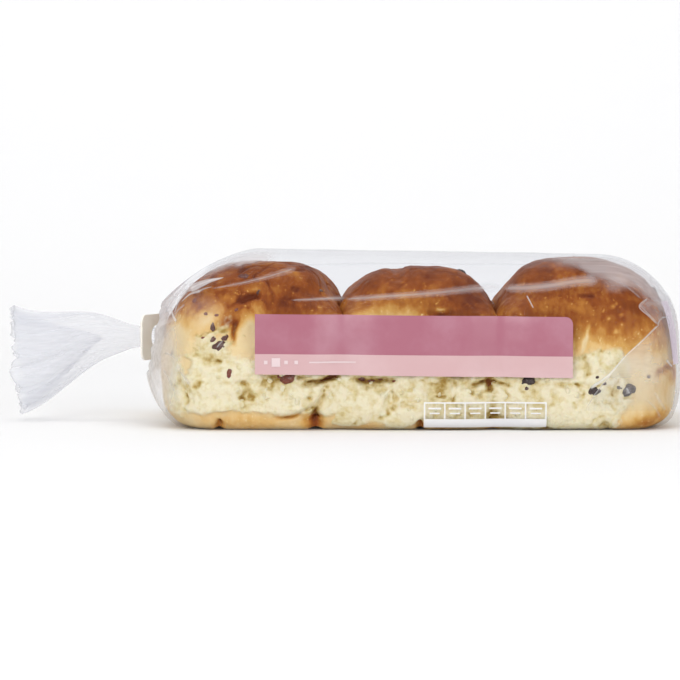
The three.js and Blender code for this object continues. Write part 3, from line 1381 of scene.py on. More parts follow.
@dataclass(frozen=True)
class CreaseAndHighlight:
    """A milky crease on the film's front, partly its own milkiness and partly a painted highlight.

    Attributes:
        path: Corners along the bag and up it.
        width: Width at the start and at the end.
        strength: Haze in its middle, where the highlight is painted.
        softness: How much of its half width fades out.
    """

    path: Line
    width: Range
    strength: float
    softness: float = 0.45

    LEAST_ROWS, ROWS_PER_MM, COLUMNS = 12, 1.4, 15
    TAPER, TIP = 12, 0.02
    LIFT, CROWN = 0.12, 0.22
    LINES, LINE_DEPTH = 3, 0.14

    def skin(self, relief: Relief) -> Skin:
        """A low ridge along the path, clear at its edges and milky in faint lines in its middle.

        Args:
            relief: The side of the film that it lies on.

        Returns:
            The crease's skin.
        """
        length = sum(math.dist(a, b) for a, b in zip(self.path, self.path[1:]))
        count = max(self.LEAST_ROWS, int(self.ROWS_PER_MM * length))
        line = smooth_path(self.path, count)
        ahead = np.gradient(line, axis=0)
        ahead /= np.linalg.norm(ahead, axis=1, keepdims=True)
        side = np.stack([-ahead[:, 1], ahead[:, 0]], axis=-1)
        share = along(count)
        taper = np.sqrt(np.clip(self.TAPER * np.minimum(share, 1 - share), self.TIP, 1))
        half = 0.5 * lerp(*self.width, share) * taper
        across = np.linspace(1, -1, self.COLUMNS)[None, :]
        x = line[:, :1] + side[:, :1] * half * across
        z = line[:, 1:] + side[:, 1:] * half * across
        crown = self.LIFT + self.CROWN * (1 - across ** 2) * np.minimum(half, 1)
        lines = 1 - self.LINE_DEPTH + self.LINE_DEPTH * np.cos(self.LINES * math.pi * across)
        haze = self.strength * smoothstep(1 - np.abs(across), 0, self.softness) * lines * taper
        masks = {"haze": np.broadcast_to(haze, x.shape), "loose": np.ones(x.shape)}
        return Skin(relief.place(x, z, crown), wraps=False, masks=masks)


@dataclass
class FilmCreasesAndHighlights:
    """Milky creases with painted highlights on the front, and the fold lines of the folded end."""

    relief: FrontRelief
    fold: EndRelief
    fold_lines: tuple[CreaseAndHighlight, ...] = rows_of(
        CreaseAndHighlight,
        (((-54, 64), (-30, 51), (-5, 40)), (0.8, 2.4), 0.4, 0.8),
        (((5, 40), (30, 50), (54, 62)), (2.4, 0.8), 0.4, 0.8),
        (((-52, 9), (-30, 21), (-5, 33)), (0.8, 2), 0.36, 0.8),
        (((5, 33), (30, 21), (52, 9)), (2, 0.8), 0.36, 0.8),
        (((-18, 37.5), (0, 36), (19, 37)), (1.2, 1.2), 0.5, 0.6),
    )
    # Painted highlights: milk for the lamps' light caught on creases, shoulders and the top edge.
    creases: tuple[CreaseAndHighlight, ...] = rows_of(
        CreaseAndHighlight,
        (((-21, 56.9), (-0.4, 57.6), (2.2, 57.2)), (1.4, 3), 0.34, 0.9),
        (((2.2, 57.2), (20, 58.4), (38.9, 59.8), (63, 62), (71.3, 61.6)), (3, 5), 0.36, 0.9),
        (((71.3, 61.6), (88, 62.4), (102.8, 64.6), (112.7, 65)), (4.8, 6.4), 0.42, 0.9),
        (((-56, 61.5), (-36, 65.5), (-18.8, 70.3)), (0.9, 4.2), 0.32, 0.9),
        (((117, 66), (124, 63.2), (131, 57.4)), (0.6, 1.4), 0.28, 0.9),
        (((126.5, 65.4), (131.5, 61.8), (136, 57)), (0.6, 1.2), 0.3, 0.9),
        (
            ((138, 45.4), (139.6, 48.2), (141.8, 48.8), (143.6, 47.8), (144.6, 45.4)),
            (0.8, 0.7), 0.6,
        ),
        (((142.4, 30.6), (143.6, 28.8), (145.4, 27.2)), (1.6, 0.9), 0.7, 0.6),
        (((136.5, 17), (139.5, 12), (142, 8.5)), (1.6, 2.4), 0.22, 0.9),
        (((133.5, 13.5), (137, 10), (139.5, 5.5)), (1.2, 1.8), 0.2, 0.9),
        # Painted highlight: the bright wedge of light on the left shoulder.
        (((-66.2, 60.4), (-58, 64.3), (-50.4, 66.6)), (4.8, 0.3), 0.95, 0.6),
        (((-69.6, 55), (-65.4, 58.6), (-60.6, 60.4)), (0.4, 1.6), 0.7, 0.7),
        (((-72.6, 50), (-70.6, 55.4), (-66.8, 60)), (0.5, 2.2), 0.7, 0.8),
        # Painted highlight: a pale glint on the raisin beneath.
        (((124.2, 19), (124.8, 17.8), (125.4, 16.4)), (2.4, 3), 0.5, 1),
        # Painted highlight: a glint on the raisins beneath.
        (((-50.6, 39.6), (-52.4, 37.8), (-53.4, 36.4)), (0.6, 1.2), 0.4, 0.9),
        (((-70.6, 57.2), (-68, 59.4), (-65.2, 60.8)), (0.5, 2.8), 0.6, 0.6),
        (((-63, 59.4), (-59, 61.4), (-55.6, 62.4)), (1.8, 0.3), 0.5, 0.7),
        (((-77, 49.6), (-73, 56.4), (-67.4, 62.6)), (0.5, 1.5), 0.45, 0.8),
        (((-75.4, 45), (-71.4, 50.8), (-67.6, 54.4)), (0.5, 1.3), 0.4, 0.8),
        (((-77.2, 39), (-74.6, 42.6), (-71.6, 45.4)), (1.2, 0.5), 0.4, 0.8),
        (((-77, 33), (-74, 32.4), (-70.6, 30.2)), (1.4, 0.5), 0.35, 0.8),
        (((-77.4, 26), (-74.6, 22), (-71.8, 15.6)), (1.5, 0.5), 0.35, 0.8),
        (((-74.6, 52.4), (-73.4, 49.5), (-71.8, 46.7)), (1, 1.5), 0.85),
        (((134.3, 57.6), (130, 54.1), (134, 50), (138.3, 45.8)), (0.8, 0.7), 0.6),
        (((138.3, 45.8), (123.8, 33)), (0.8, 0.6), 0.6),
        (((123.8, 33), (116.5, 24.5), (108.5, 18.6)), (0.6, 1.7), 0.75),
        (((81, 59), (82.6, 56), (84, 53.4)), (0.7, 0.5), 0.7),
        (((-71, 28.7), (-68.5, 24.5), (-65.6, 20)), (2.6, 2.2), 0.35, 0.9),
        (((-26, 71.5), (30, 72), (84, 71.6)), (0.9, 0.9), 0.16, 0.8),
    )

    def build(self, finish: Material) -> Piece:
        """Make all creases as one piece."""
        skins = [crease.skin(self.relief) for crease in self.creases]
        skins += [crease.skin(self.fold) for crease in self.fold_lines]
        return make_piece("film_creases_and_highlights", skins, finish)


@dataclass
class FilmFlap:
    """The film folded over the front of the closed end, doubled and so milkier."""

    relief: FrontRelief
    edge: Line = (
        (134.3, 57.6), (130, 54.1), (138.3, 45.8), (123.8, 33), (110.7, 16.7), (106, 9),
    )
    right_x: float = 147.5
    rows: int = 110
    columns: int = 44
    spacing: float = 1.3
    lift: float = 0.55
    rim: float = 0.6
    rim_haze: float = 0.4
    haze: float = 0.28
    veiled_levels: Range = (13, 24)
    clear_share: float = 0.45
    cloud: Swell = Swell(0.12, 12, 3)
    end_fades: Range = (0.12, 0.06)
    fade_start: float = 0.55
    fade: float = 0.75
    most_haze: float = 0.9
    seed: int = 31

    def build(self, finish: Material) -> Piece:
        """Make the flap: rows up the fold's edge, columns from the edge to the bag's end.

        Args:
            finish: The film's material.

        Returns:
            The flap as one piece.
        """
        corners = np.asarray(self.edge)[::-1]
        level = np.linspace(corners[0, 1], corners[-1, 1], self.rows)[:, None]
        left = np.interp(level, corners[:, 1], corners[:, 0])
        share = np.linspace(0, 1, self.columns)[None, :] ** self.spacing
        x = lerp(left, self.right_x, share)
        z = np.broadcast_to(level, x.shape)
        points = self.relief.place(x, z, self.lift)
        climb = along(self.rows)
        foot, top = self.end_fades
        ends = smoothstep(climb, 0, foot) * smoothstep(1 - climb, 0, top)
        rim = self.rim_haze * (1 - smoothstep(x - left, 0, self.rim))
        fading = 1 - self.fade * smoothstep(share, self.fade_start, 1)
        veiled = smoothstep(z, *self.veiled_levels)
        veil = self.haze * lerp(self.clear_share, 1, veiled) + self.cloud.at(Noise(self.seed), points)
        haze = np.clip((veil + rim) * ends * fading, 0, self.most_haze)
        skin = Skin(points, wraps=False, masks={"haze": haze, "loose": np.ones(haze.shape)})
        return make_piece("film_flap", [skin], finish)


# The buns


class Side(Enum):
    """A side of a bun, with its direction seen from above."""

    RIGHT = 0
    BACK = 0.5 * math.pi
    LEFT = math.pi
    FRONT = 1.5 * math.pi


FRONT_START = (-6, 10)


def in_front(points: Array, middle: float) -> Array:
    """How much points belong to a bun's front: 0 behind its middle, 1 well before it."""
    return smoothstep(middle - points[..., 1], *FRONT_START)


@dataclass(frozen=True)
class Groove:
    """A crease in a bun, drawn on its front.

    Attributes:
        path: Corners along the bag and up it.
        depth: Depth of the crease.
        width: Width from its middle to where it has faded.
        bake: Change of the crust's colour in it; above 0 it darkens, painted shade in the crease.
        painted_shade: How far the crumb is darkened towards brown in it, 0 to 1: painted shade in the
            crease.
        taper: Share of the path over which it fades at either end.
        flare: How many times wider it is at the path's start than at its end.
        through: True where it runs on over the bun's top to the back.
    """

    path: Line
    depth: float
    width: float
    bake: float = 0
    painted_shade: float = 0.3
    taper: float = 0.3
    flare: float = 1
    through: bool = False

    def at(self, points: Array, middle: float) -> Array:
        """How close points are to the crease, 0 to 1, fading towards the bun's middle."""
        away, share = path_nearest(points[..., ::2], self.path)
        fade = smoothstep(np.minimum(share, 1 - share), 0, self.taper)
        width = self.width * lerp(self.flare, 1, share)
        near = fade * np.exp(-((away / width) ** 2))
        return near if self.through else near * in_front(points, middle)


@dataclass(frozen=True)
class Patch:
    """A soft spot on a bun's front: centre along and up, half sizes and what it adds to a mask."""

    x: float
    z: float
    half_x: float
    half_z: float
    change: float

    FALL = 2.2

    def at(self, points: Array, middle: float) -> Array:
        """What the spot adds at points, fading to its edge and towards the bun's middle."""
        dx = (points[..., 0] - self.x) / self.half_x
        dz = (points[..., 2] - self.z) / self.half_z
        return self.change * np.exp(-self.FALL * (dx * dx + dz * dz)) * in_front(points, middle)


@dataclass(frozen=True)
class BunSide:
    """The form of one side of a bun.

    Attributes:
        reach: Distance from the bun's centre.
        contact: Level up to which the side is straight.
        foot: Radius of its rounded foot.
        torn: How much of it is torn, 0 to 1.
        power: How square the bun's outline from above is on this side.
        spread: How much further the side reaches below its dome, into its neighbour.
        dome: How square the dome is on this side.
    """

    reach: float
    contact: float
    foot: float
    torn: float = 1
    power: float = 16
    spread: float = 0
    dome: float = 3.4


@dataclass
class Bun:
    """One bun: a flat foot, straight sides torn from its neighbours and a baked dome.

    Attributes:
        name: The piece's name.
        x: Centre along the bag.
        y: Centre across the bag, negative in the front row.
        height: Height of the dome.
        sides: The form of each side.
        seed: Seed of its unevenness.
        torn_low: Level where the torn side starts.
        torn_span: Places along the bag between which the sides are torn.
        bake_shift: How much higher the bun is baked than its level says.
        wrinkled: How cracked its crust is, 0 to 1.
        grooves: Creases on it.
        patches: Paler or darker parts of its crust, a few of them painted shade.
        tears: Torn spots above the torn side.
        lumps: Parts of its front that swell or sink, with painted light and shade to match.
        strands: Shreds of crumb that stand out by their depth, their crumb painted paler as light on
            them.
        form_limit: How softly the film presses the even form.
        soft_limit: How softly the film presses the finished form.
    """

    name: str
    x: float
    y: float
    height: float
    sides: dict[Side, BunSide]
    seed: int
    torn_low: float = 3
    torn_span: Range = (-75, 124)
    bake_shift: float = 0
    wrinkled: float = 0.3
    grooves: tuple[Groove, ...] = ()
    patches: tuple[Patch, ...] = ()
    tears: tuple[Patch, ...] = ()
    lumps: tuple[Patch, ...] = ()
    strands: tuple[Groove, ...] = ()
    round_power: float = 2.7
    torn_high: float = 34
    cleft_level: float = 20
    form_limit: float = 3
    soft_limit: float = 1.5
    crumb_swell: float = 1.1
    settle_seed: int = 7
    columns: int = 420
    base_rows: int = 10
    foot_rows: int = 14
    wall_rows: int = 80
    dome_rows: int = 78
    skin: Skin = field(init=False)
    normals: Array = field(init=False)

    # Its even form
    SIDE_FOCUS = 4
    DOME_SPACING = 1.3
    WALL_BULGE = 0.012
    END_BLEND = (-0.4, 0.4)
    ROUNDING = (34, 60)
    SPREADING = (48, 30)
    SETTLING = (Swell(2.6, 25), Swell(0.9, 27, shift=113), Swell(1, 30, shift=229))
    SETTLED = (1, 16)
    # Where it is torn
    LOW_EDGE = Swell(2.6, 16, 3)
    HIGH_EDGE = (Swell(3.4, 21), Swell(2.4, 8, 3))
    EDGE_SOFTNESS = (2, 3.6)
    END_EDGE = Swell(4, 12, 3, 71)
    END_SOFTNESS = (5, 5)
    JOIN_EDGE = Swell(0.14, 11)
    JOIN = (0.35, 0.65)
    RAGGED = Swell(0.9, 5, 3)
    # Its crumb
    WINDING = tuple(Swell(3.4, 9, shift=shift) for shift in (19, 37, 53))
    CRUMB_LUMPS = (Swell(2, 13), Swell(1.3, 6.5, shift=41))
    CRUMBS = (Swell(0.6, 3.1, shift=83), Swell(0.26, 1.6, shift=97))
    SHRED_HEIGHT, SHRED_SIZE, SHRED_SHIFT, SHRED_STRETCH = 0.35, 4.2, 61, (1, 1, 0.5)
    PITS, PIT_RANGE, PIT_DEPTH = Swell(1, 5, 2, 57), (0.3, 0.85), 1.3
    CLEFT_STRAY, CLEFT_STRETCH = Swell(2.6, 17), (1, 1, 0.1)
    CLEFT_START, CLEFT_DEPTH, CLEFT_MOST, CLEFT_WIDTH = 0.2, Swell(1.6, 13), 1.8, 1.4
    # Painted shade of the crumb: its start and its weights for lumps, crumbs, shreds, pits and cleft.
    HOLLOW_SHADE_START = 0.14
    HOLLOW_SHADE_WEIGHTS = (-0.17, -0.3, -0.2, 0.4, 0.2)
    # Its crust
    BAKE_EDGE, BAKE_CLOUD = Swell(2.8, 13, 3), Swell(0.08, 17)
    BAKE_START = 0.08
    BAKE_STEPS = ((-0.05, 3, 9), (0.64, 33, 56), (0.12, 56, 70))
    CRUST = (Swell(0.9, 26, 2), Swell(0.24, 7, 3))
    CRUST_UNDER_CRUMB = 0.5
    WRINKLE_HEIGHT, WRINKLE_SIZE, WRINKLE_STRETCH = 0.2, 3.6, (1, 1, 0.4)
    CRACK_SIZE, CRACK_RANGE, CRACK_LEVELS = 10, (0.72, 1), (46, 58)
    CRACK_DEPTH, CRACK_BAKE = 0.5, 0.22
    # Painted light and shade: swelling lumps make the crumb paler, sunken ones darker.
    LUMP_SHADE = -0.2
    WAVING = tuple(Swell(0.8, 4, shift=shift) for shift in (5, 11, 17))
    RESTING, CUTTING = (0, 3), (-1, 3)

    def sided(self, turn: Array, value: str) -> Array:
        """Blend of one of the sides' values by how much a direction faces each side."""
        facing = {side: np.maximum(np.cos(turn - side.value), 0) for side in Side}
        weights = {side: share ** self.SIDE_FOCUS for side, share in facing.items()}
        total = sum(weights.values())
        return sum(weights[side] * getattr(self.sides[side], value) for side in Side) / total

    def profile(self, contact: Array, foot: Array, dome: Array) -> tuple[Array, Array]:
        """Radius share and level of every row: base, rounded foot, wall and dome.

        The foot is a quarter circle, the wall is straight up to the contact level, and the dome's
        level is contact + (height - contact) * (1 - radius^n).

        Args:
            contact: Contact level for each direction.
            foot: Radius of the foot for each direction.
            dome: The dome's power for each direction.

        Returns:
            Radius shares and levels, rows by directions.
        """
        flat = np.ones_like(contact)
        tight = foot / self.sides[Side.FRONT].reach
        base = along(self.base_rows + 1)[1:-1] * (1 - tight)
        bend = 0.5 * math.pi * along(self.foot_rows)
        climb = along(self.wall_rows + 1)[1:]
        out = 1 - along(self.dome_rows + 1)[1:-1] ** self.DOME_SPACING
        radius = np.concatenate([
            base,
            1 - tight * (1 - np.sin(bend)),
            (1 + self.WALL_BULGE * np.sin(math.pi * climb)) * flat,
            out * flat,
        ])
        level = np.concatenate([
            0 * base,
            foot * (1 - np.cos(bend)),
            lerp(foot, contact, climb),
            contact + (self.height - contact) * (1 - out ** dome),
        ])
        return radius, level

    def even_form(self) -> tuple[Array, Array]:
        """The bun before any relief, squarer from above at its sides than over its dome.

        Returns:
            Points of the form, rows by directions, and the share of torn side in each direction.
        """
        turn = around(self.columns)
        cos, sin = np.cos(turn), np.sin(turn)
        left, right = self.sides[Side.LEFT], self.sides[Side.RIGHT]
        front, back = self.sides[Side.FRONT], self.sides[Side.BACK]
        values = (self.sided(turn, value) for value in ("contact", "foot", "dome"))
        radius, level = self.profile(*values)
        square = lerp(left.power, right.power, smoothstep(cos, *self.END_BLEND))
        rounded = smoothstep(level, *self.ROUNDING)
        power = lerp(square, np.minimum(square, self.round_power), rounded)
        outline = (np.abs(cos) ** power + np.abs(sin) ** power) ** (-1 / power)
        low = smoothstep(level, *self.SPREADING)
        reaches = [side.reach + side.spread * low for side in (right, left)]
        reach = np.where(cos > 0, *reaches)
        x = self.x + radius * outline * cos * reach
        y = self.y + radius * outline * sin * np.where(sin > 0, back.reach, front.reach)
        return stacked(x, y, level), self.sided(turn, "torn")

    def settle(self, points: Array) -> Array:
        """Press the bun out of its even form, together with its neighbours: one slow noise for all."""
        free = smoothstep(points[..., 2], *self.SETTLED)
        moved = strayed(points, Noise(self.settle_seed), self.SETTLING)
        return lerp(points, moved, stacked(1, 1, free))

    def torn_mask(self, points: Array, share: Array, noise: Noise) -> Array:
        """Where the side is torn: a ragged band between two levels on the sides that were joined.

        Args:
            points: Places on the even form.
            share: The share of torn side in each direction.
            noise: The bun's noise.

        Returns:
            How torn each place is, 0 to 1.
        """
        low = self.torn_low + self.LOW_EDGE.at(noise, points)
        high = self.torn_high + summed(points, noise, self.HIGH_EDGE)
        band = within(points[..., 2], low, high, self.EDGE_SOFTNESS)
        place = points[..., 0] + self.END_EDGE.at(noise, points)
        window = within(place, *self.torn_span, self.END_SOFTNESS)
        joined = smoothstep(share + self.JOIN_EDGE.at(noise, points), *self.JOIN)
        extra = sum(tear.at(points, self.y) for tear in self.tears)
        ragged = extra * (self.RAGGED.height + self.RAGGED.at(noise, points))
        return np.clip(band * joined * window + ragged, 0, 1)

    def crumb_relief(self, points: Array, noise: Noise) -> tuple[Array, Array]:
        """Shredded crumb: lumps of four sizes in a winding space, shreds, pits and a faint cleft.

        Args:
            points: Places on the even form.
            noise: The bun's noise.

        Returns:
            Height of the relief, and how dark the crumb's painted shade is at each place, 0 to 1.
        """
        winding = strayed(points, noise, self.WINDING)
        lumps = summed(winding, noise, self.CRUMB_LUMPS)
        crumbs = summed(winding, noise, self.CRUMBS)
        drawn = winding * self.SHRED_STRETCH + self.SHRED_SHIFT
        shreds = self.SHRED_HEIGHT * noise.ridged(drawn, self.SHRED_SIZE)
        pits = smoothstep(self.PITS.at(noise, winding), *self.PIT_RANGE)
        middle = self.cleft_level + self.CLEFT_STRAY.at(noise, points * self.CLEFT_STRETCH)
        deep = np.clip(self.CLEFT_START + self.CLEFT_DEPTH.at(noise, points), 0, self.CLEFT_MOST)
        cleft = deep * np.exp(-(((points[..., 2] - middle) / self.CLEFT_WIDTH) ** 2))
        relief = lumps + crumbs + shreds - self.PIT_DEPTH * pits - cleft
        parts = (lumps, crumbs, shreds, pits, cleft)
        # Painted shade: darker in pits and the cleft, paler on lumps, crumbs and shreds.
        hollow_shade = sum(weight * part for weight, part in zip(self.HOLLOW_SHADE_WEIGHTS, parts))
        return relief, self.HOLLOW_SHADE_START + hollow_shade

    def baking(self, points: Array, noise: Noise) -> Array:
        """How dark the crust is: tan at the foot, golden up the sides and brown over the dome."""
        level = points[..., 2] + self.bake_shift + self.BAKE_EDGE.at(noise, points)
        steps = sum(change * smoothstep(level, low, high) for change, low, high in self.BAKE_STEPS)
        # Some patches are painted shade, as noted at each bun.
        spots = sum(patch.at(points, self.y) for patch in self.patches)
        return self.BAKE_START + steps + self.BAKE_CLOUD.at(noise, points) + spots

    def shape(self, room: FilmRoom) -> None:
        """Work out the bun's skin: settled form, lumps, torn crumb and grooves, with its masks.

        Args:
            room: The room inside the film, which presses the even form and then the finished one.
        """
        noise = Noise(self.seed)
        points, share = self.even_form()
        points = room.press(self.settle(points), self.form_limit)
        torn = self.torn_mask(points, share, noise)
        crumb, depth = self.crumb_relief(points, noise)
        crust = summed(points, noise, self.CRUST)
        wrinkles = noise.ridged(points * self.WRINKLE_STRETCH, self.WRINKLE_SIZE)
        crests = noise.ridged(strayed(points, noise, self.WINDING), self.CRACK_SIZE)
        cracks = self.wrinkled * smoothstep(crests, *self.CRACK_RANGE)
        cracks = cracks * smoothstep(points[..., 2], *self.CRACK_LEVELS)
        lumps = sum(lump.at(points, self.y) for lump in self.lumps)
        swell = lumps - self.CRACK_DEPTH * cracks
        bake = self.baking(points, noise) + self.CRACK_BAKE * cracks
        wavy = strayed(points, noise, self.WAVING)
        cut = np.zeros(torn.shape)
        # Painted light and shade from the lumps.
        painted_shade = self.LUMP_SHADE * lumps
        # Painted shade in creases, gaps and notches: grooves darken crust and crumb; strands are paler.
        for groove in self.grooves:
            near = groove.at(wavy, self.y)
            cut = np.maximum(cut, groove.depth * near)
            bake = bake + groove.bake * near
            painted_shade = np.maximum(painted_shade, groove.painted_shade * near)
        for strand in self.strands:
            near = strand.at(wavy, self.y)
            swell = swell + strand.depth * near
            painted_shade = painted_shade - strand.painted_shade * near
        resting = smoothstep(points[..., 2], *self.RESTING)
        cutting = smoothstep(points[..., 2], *self.CUTTING)
        crusted = crust + self.WRINKLE_HEIGHT * wrinkles
        standing = self.CRUST_UNDER_CRUMB * crust + crumb + self.crumb_swell
        off = resting * (lerp(crusted, standing, torn) + swell) - cutting * cut
        points = points + grid_normals(points, True) * off[..., None]
        points = room.press(points, self.soft_limit)
        # The pit mask is painted shade of the crumb.
        masks = {"bake": bake, "torn": torn, "painted_crumb_shade": np.clip(depth + painted_shade, 0, 1)}
        base = (self.x, self.y, room.floor)
        peak = points[-1].mean(axis=0)
        self.skin = Skin(points, first_tip=base, last_tip=peak, masks=masks)
        self.normals = grid_normals(points, True)

    def build(self, finish: Material) -> Piece:
        """Make the bun as one piece."""
        return make_piece(self.name, [self.skin], finish)


JOINED = BunSide(34.6, 50, 3, spread=2.6, dome=3.8)
OPEN = BunSide(33.9, 36, 5)
INNER = BunSide(33.9, 52, 4)
LEFT_END = BunSide(44.6, 44, 13, torn=0.4, power=3.2, dome=3)
RIGHT_END = BunSide(43, 44, 12, torn=0.4, power=3.2, dome=3)
ROW_Y = 34.8

# Tears, seams and gaps between the buns, their darker colour painted shade.
TEARS = (
    Groove(((-18.5, 20.4), (-10.4, 21.1), (-5.2, 22.8), (1.5, 24.6)), 4.2, 1, 0, 0.75),
    Groove(((-8, 22), (-3.5, 23.4), (1, 24.4)), 3, 1.2, 0, 0.95),
    Groove(((-8.2, 21.8), (-6.9, 15.4), (-9.5, 11.1), (-11.3, 5.9), (-9.5, -5)), 4.2, 1.6, 0.2, 0.5),
    Groove(((-10.8, -8), (-10.5, 3), (-9.5, 11)), 6, 1, 0.3, 0.35, flare=4),
    Groove(
        ((51.5, 18.3), (59.4, 20.2), (65, 21.9), (70.7, 20.6), (78, 18.3)),
        3.6, 0.9, 0, 0.65, 0.45,
    ),
    Groove(((64.6, 25.5), (65, 21), (65.6, 15)), 3.6, 1.6, 0, 0.8),
    Groove(((66, 18), (66.8, 12), (66.8, 5.9), (66, -4)), 3.6, 2, 0.2, 0.5),
)


def bun_sides(left: BunSide, right: BunSide, front: BunSide, back: BunSide) -> dict[Side, BunSide]:
    """The form of each side of a bun."""
    return {Side.LEFT: left, Side.RIGHT: right, Side.FRONT: front, Side.BACK: back}


def front_row() -> list[Bun]:
    """The three buns that show, each with its own creases.

    Returns:
        The buns from left to right.
    """
    left = Bun(
        "bun_front_left", -33, -ROW_Y, 72.8, bun_sides(LEFT_END, JOINED, OPEN, INNER), 101,
        torn_low=7.4, bake_shift=-1, wrinkled=1,
        # Its grooves; a bake above 0 paints the shade in a crease.
        grooves=TEARS + (
            Groove(((-34, 61), (-39.5, 57.4), (-47, 55.4)), 2.2, 1.3, 0.55),
            Groove(((-44.2, 51), (-46.4, 43.2), (-46.2, 35.5)), 1.8, 1.2, 0.55),
            Groove(((-52.5, -7), (-52.3, 1), (-53, 6)), 5, 0.8, 0.36, flare=4),
            Groove(((-31, 5), (-21.7, 5.9), (-15.2, 8.5), (-7, 12.5)), 2.6, 0.9, 0.3),
        ),
        # The patch at (-12, 3) is painted shade in the gap beside the middle bun.
        patches=rows_of(
            Patch,
            (-60, 51, 19, 16, -0.3), (-37, 61, 3, 2, -0.4), (-38, 44, 9, 13, -0.44),
            (-49, 46.5, 6, 3.2, 0.4), (-55, 54, 11, 4, 0.14), (-72, 43, 7, 10, -0.2),
            (-31, 70, 13, 6, -0.14), (-16, 60, 9, 9, 0.12), (-33, 3.5, 18, 5, 0.07),
            (-12, 3, 5, 5, 0.45),
        ),
        tears=rows_of(
            Patch,
            (-51.5, 40, 9.5, 10.5, 0.9), (-60, 37, 8, 6, 0.6), (-71, 43, 6, 11, -1.4),
            (-67, 31, 4, 10, -1.4),
        ),
        lumps=rows_of(
            Patch,
            (-20, 14, 12, 7, 1.6), (-60, 9, 9, 8, 1.2), (-50, 9.5, 5, 3.5, 1.6),
            (-39.5, 14.8, 9, 3.6, -2.4), (-37, 10.4, 7, 2.4, -1.4), (-27.5, 23, 4, 2.4, -2),
            (-14, 4, 9, 6, -2.6), (-61.5, 19.6, 7, 6, 3.2),
        ),
        strands=(
            Groove(((-29, 13.6), (-19, 15.4), (-10.6, 16.4)), 1.1, 1, painted_shade=0.25),
            Groove(((-28, 10), (-18, 9.8), (-11, 11.6)), 1.1, 1, painted_shade=0.25),
            Groove(((-46, 31), (-41, 27), (-38.4, 21)), 0.9, 0.9, painted_shade=0.2),
            Groove(((-63, 29), (-57, 25.6), (-52, 24.6)), 0.9, 0.9, painted_shade=0.2),
        ),
    )
    middle = Bun(
        "bun_front_middle", 34.5, -ROW_Y, 70.4, bun_sides(JOINED, JOINED, OPEN, INNER), 202,
        torn_low=3,
        # Its grooves; a bake above 0 paints the shade in a crease.
        grooves=TEARS + (
            Groove(((24.8, 100), (25, 66), (27.5, 58)), 2.4, 3.6, 0.05, through=True),
            Groove(((36.5, 51.8), (43, 50.4), (51, 51.2)), 2, 1.6, 0.3),
            Groove(((2, 23.4), (11, 21.4), (19, 22.2), (28, 21.6)), 2.4, 1.3, 0, 0.6),
            Groove(((19, 9.6), (28, 10.8), (36, 9.4)), 1.6, 1.2, 0, 0.4),
            Groove(((34.5, -7), (34.7, 1), (34.9, 6)), 5, 0.8, 0.4, flare=4),
        ),
        # Painted shade: the patch at (56, 56) on the dome's side away from the light, (-7.5, 2.5) in
        # the gap.
        patches=rows_of(
            Patch,
            (19, 50, 24, 12, -0.46), (44, 52.6, 3.6, 1.4, -0.7), (56, 56, 14, 14, 0.3),
            (27, 62, 9, 8, 0.12), (36, 54, 26, 7, -0.06), (-7.5, 2.5, 3.5, 4, 0.4),
        ),
        lumps=rows_of(
            Patch,
            (11, 12, 13, 9, 1.5), (50, 11, 12, 9, 1.2), (27, 13.5, 5, 4, -1.6),
            (19, 22.4, 6, 1.4, -1.8), (62, 14.5, 5, 2.4, -1.6),
        ),
        strands=(
            Groove(
                ((27.3, 20.8), (19.9, 17.2), (16.9, 9.8), (21.3, 5.2)),
                1.4, 0.9, painted_shade=0.3, taper=0.15,
            ),
            Groove(((23.6, 19.4), (26.6, 13.4), (24.6, 6.6)), 1.3, 0.9, painted_shade=0.3, taper=0.15),
            Groove(((-6.2, 17.2), (1.2, 15.6), (9, 16.6)), 1, 1, painted_shade=0.25),
            Groove(((-6, 12.4), (2, 11.6), (11, 12.2)), 1, 1, painted_shade=0.25),
            Groove(((30, 19.6), (36, 15.4), (39.4, 14.4)), 1, 0.9, painted_shade=0.25),
        ),
    )
    right = Bun(
        "bun_front_right", 104.8, -ROW_Y, 73.6,
        bun_sides(replace(JOINED, reach=36.2, dome=4.4), RIGHT_END, OPEN, INNER), 303,
        torn_low=0.5, bake_shift=4.5,
        # Its grooves; a bake above 0 paints the shade in a crease.
        grooves=TEARS + (
            Groove(((109.5, 50), (107.5, 42), (104, 32)), 0.9, 0.9, -0.3),
            Groove(((102.5, 58.8), (107, 58.5), (112, 58.3)), 0.9, 0.8, 0.4),
            Groove(((116.5, -5), (116, 6)), 2.4, 2, 0.2),
            Groove(((136, 23.6), (140, 25.4), (144, 27), (151, 28.2)), 2.6, 1.7, 0.24, taper=0.3),
        ),
        # The patch at (150, 23) is painted shade at the bun's right end.
        patches=rows_of(
            Patch,
            (119, 53.5, 1.5, 1.2, -0.5), (122.5, 50, 1.4, 1.1, -0.5), (120, 43, 1.6, 1.2, -0.4),
            (120.5, 55, 1.2, 1, -0.45), (117, 48.5, 1.3, 1.1, -0.45), (131, 2.5, 14, 5, 0.3),
            (150, 23, 7, 6, 0.8), (140, 5.5, 11, 6, 0.22), (108, 61, 34, 13, -0.12),
        ),
        lumps=rows_of(
            Patch,
            (88, 10, 12, 9, 1.2), (131, 13, 13, 15, 1.4), (72, 14.5, 4, 3, -1.6),
            (99, 20.5, 9, 1.2, -1.2),
        ),
    )
    return [left, middle, right]


def back_row() -> list[Bun]:
    """The three buns behind, a little lower.

    Returns:
        The buns from left to right.
    """
    rows = {"columns": 220, "wall_rows": 54, "dome_rows": 52}
    places = (
        ("bun_back_left", -33, 68.6, LEFT_END, JOINED, 404),
        ("bun_back_middle", 34.5, 67, JOINED, JOINED, 505),
        ("bun_back_right", 104.5, 68.8, JOINED, RIGHT_END, 606),
    )
    return [
        Bun(name, x, ROW_Y, height, bun_sides(left, right, INNER, OPEN), seed, **rows)
        for name, x, height, left, right, seed in places
    ]


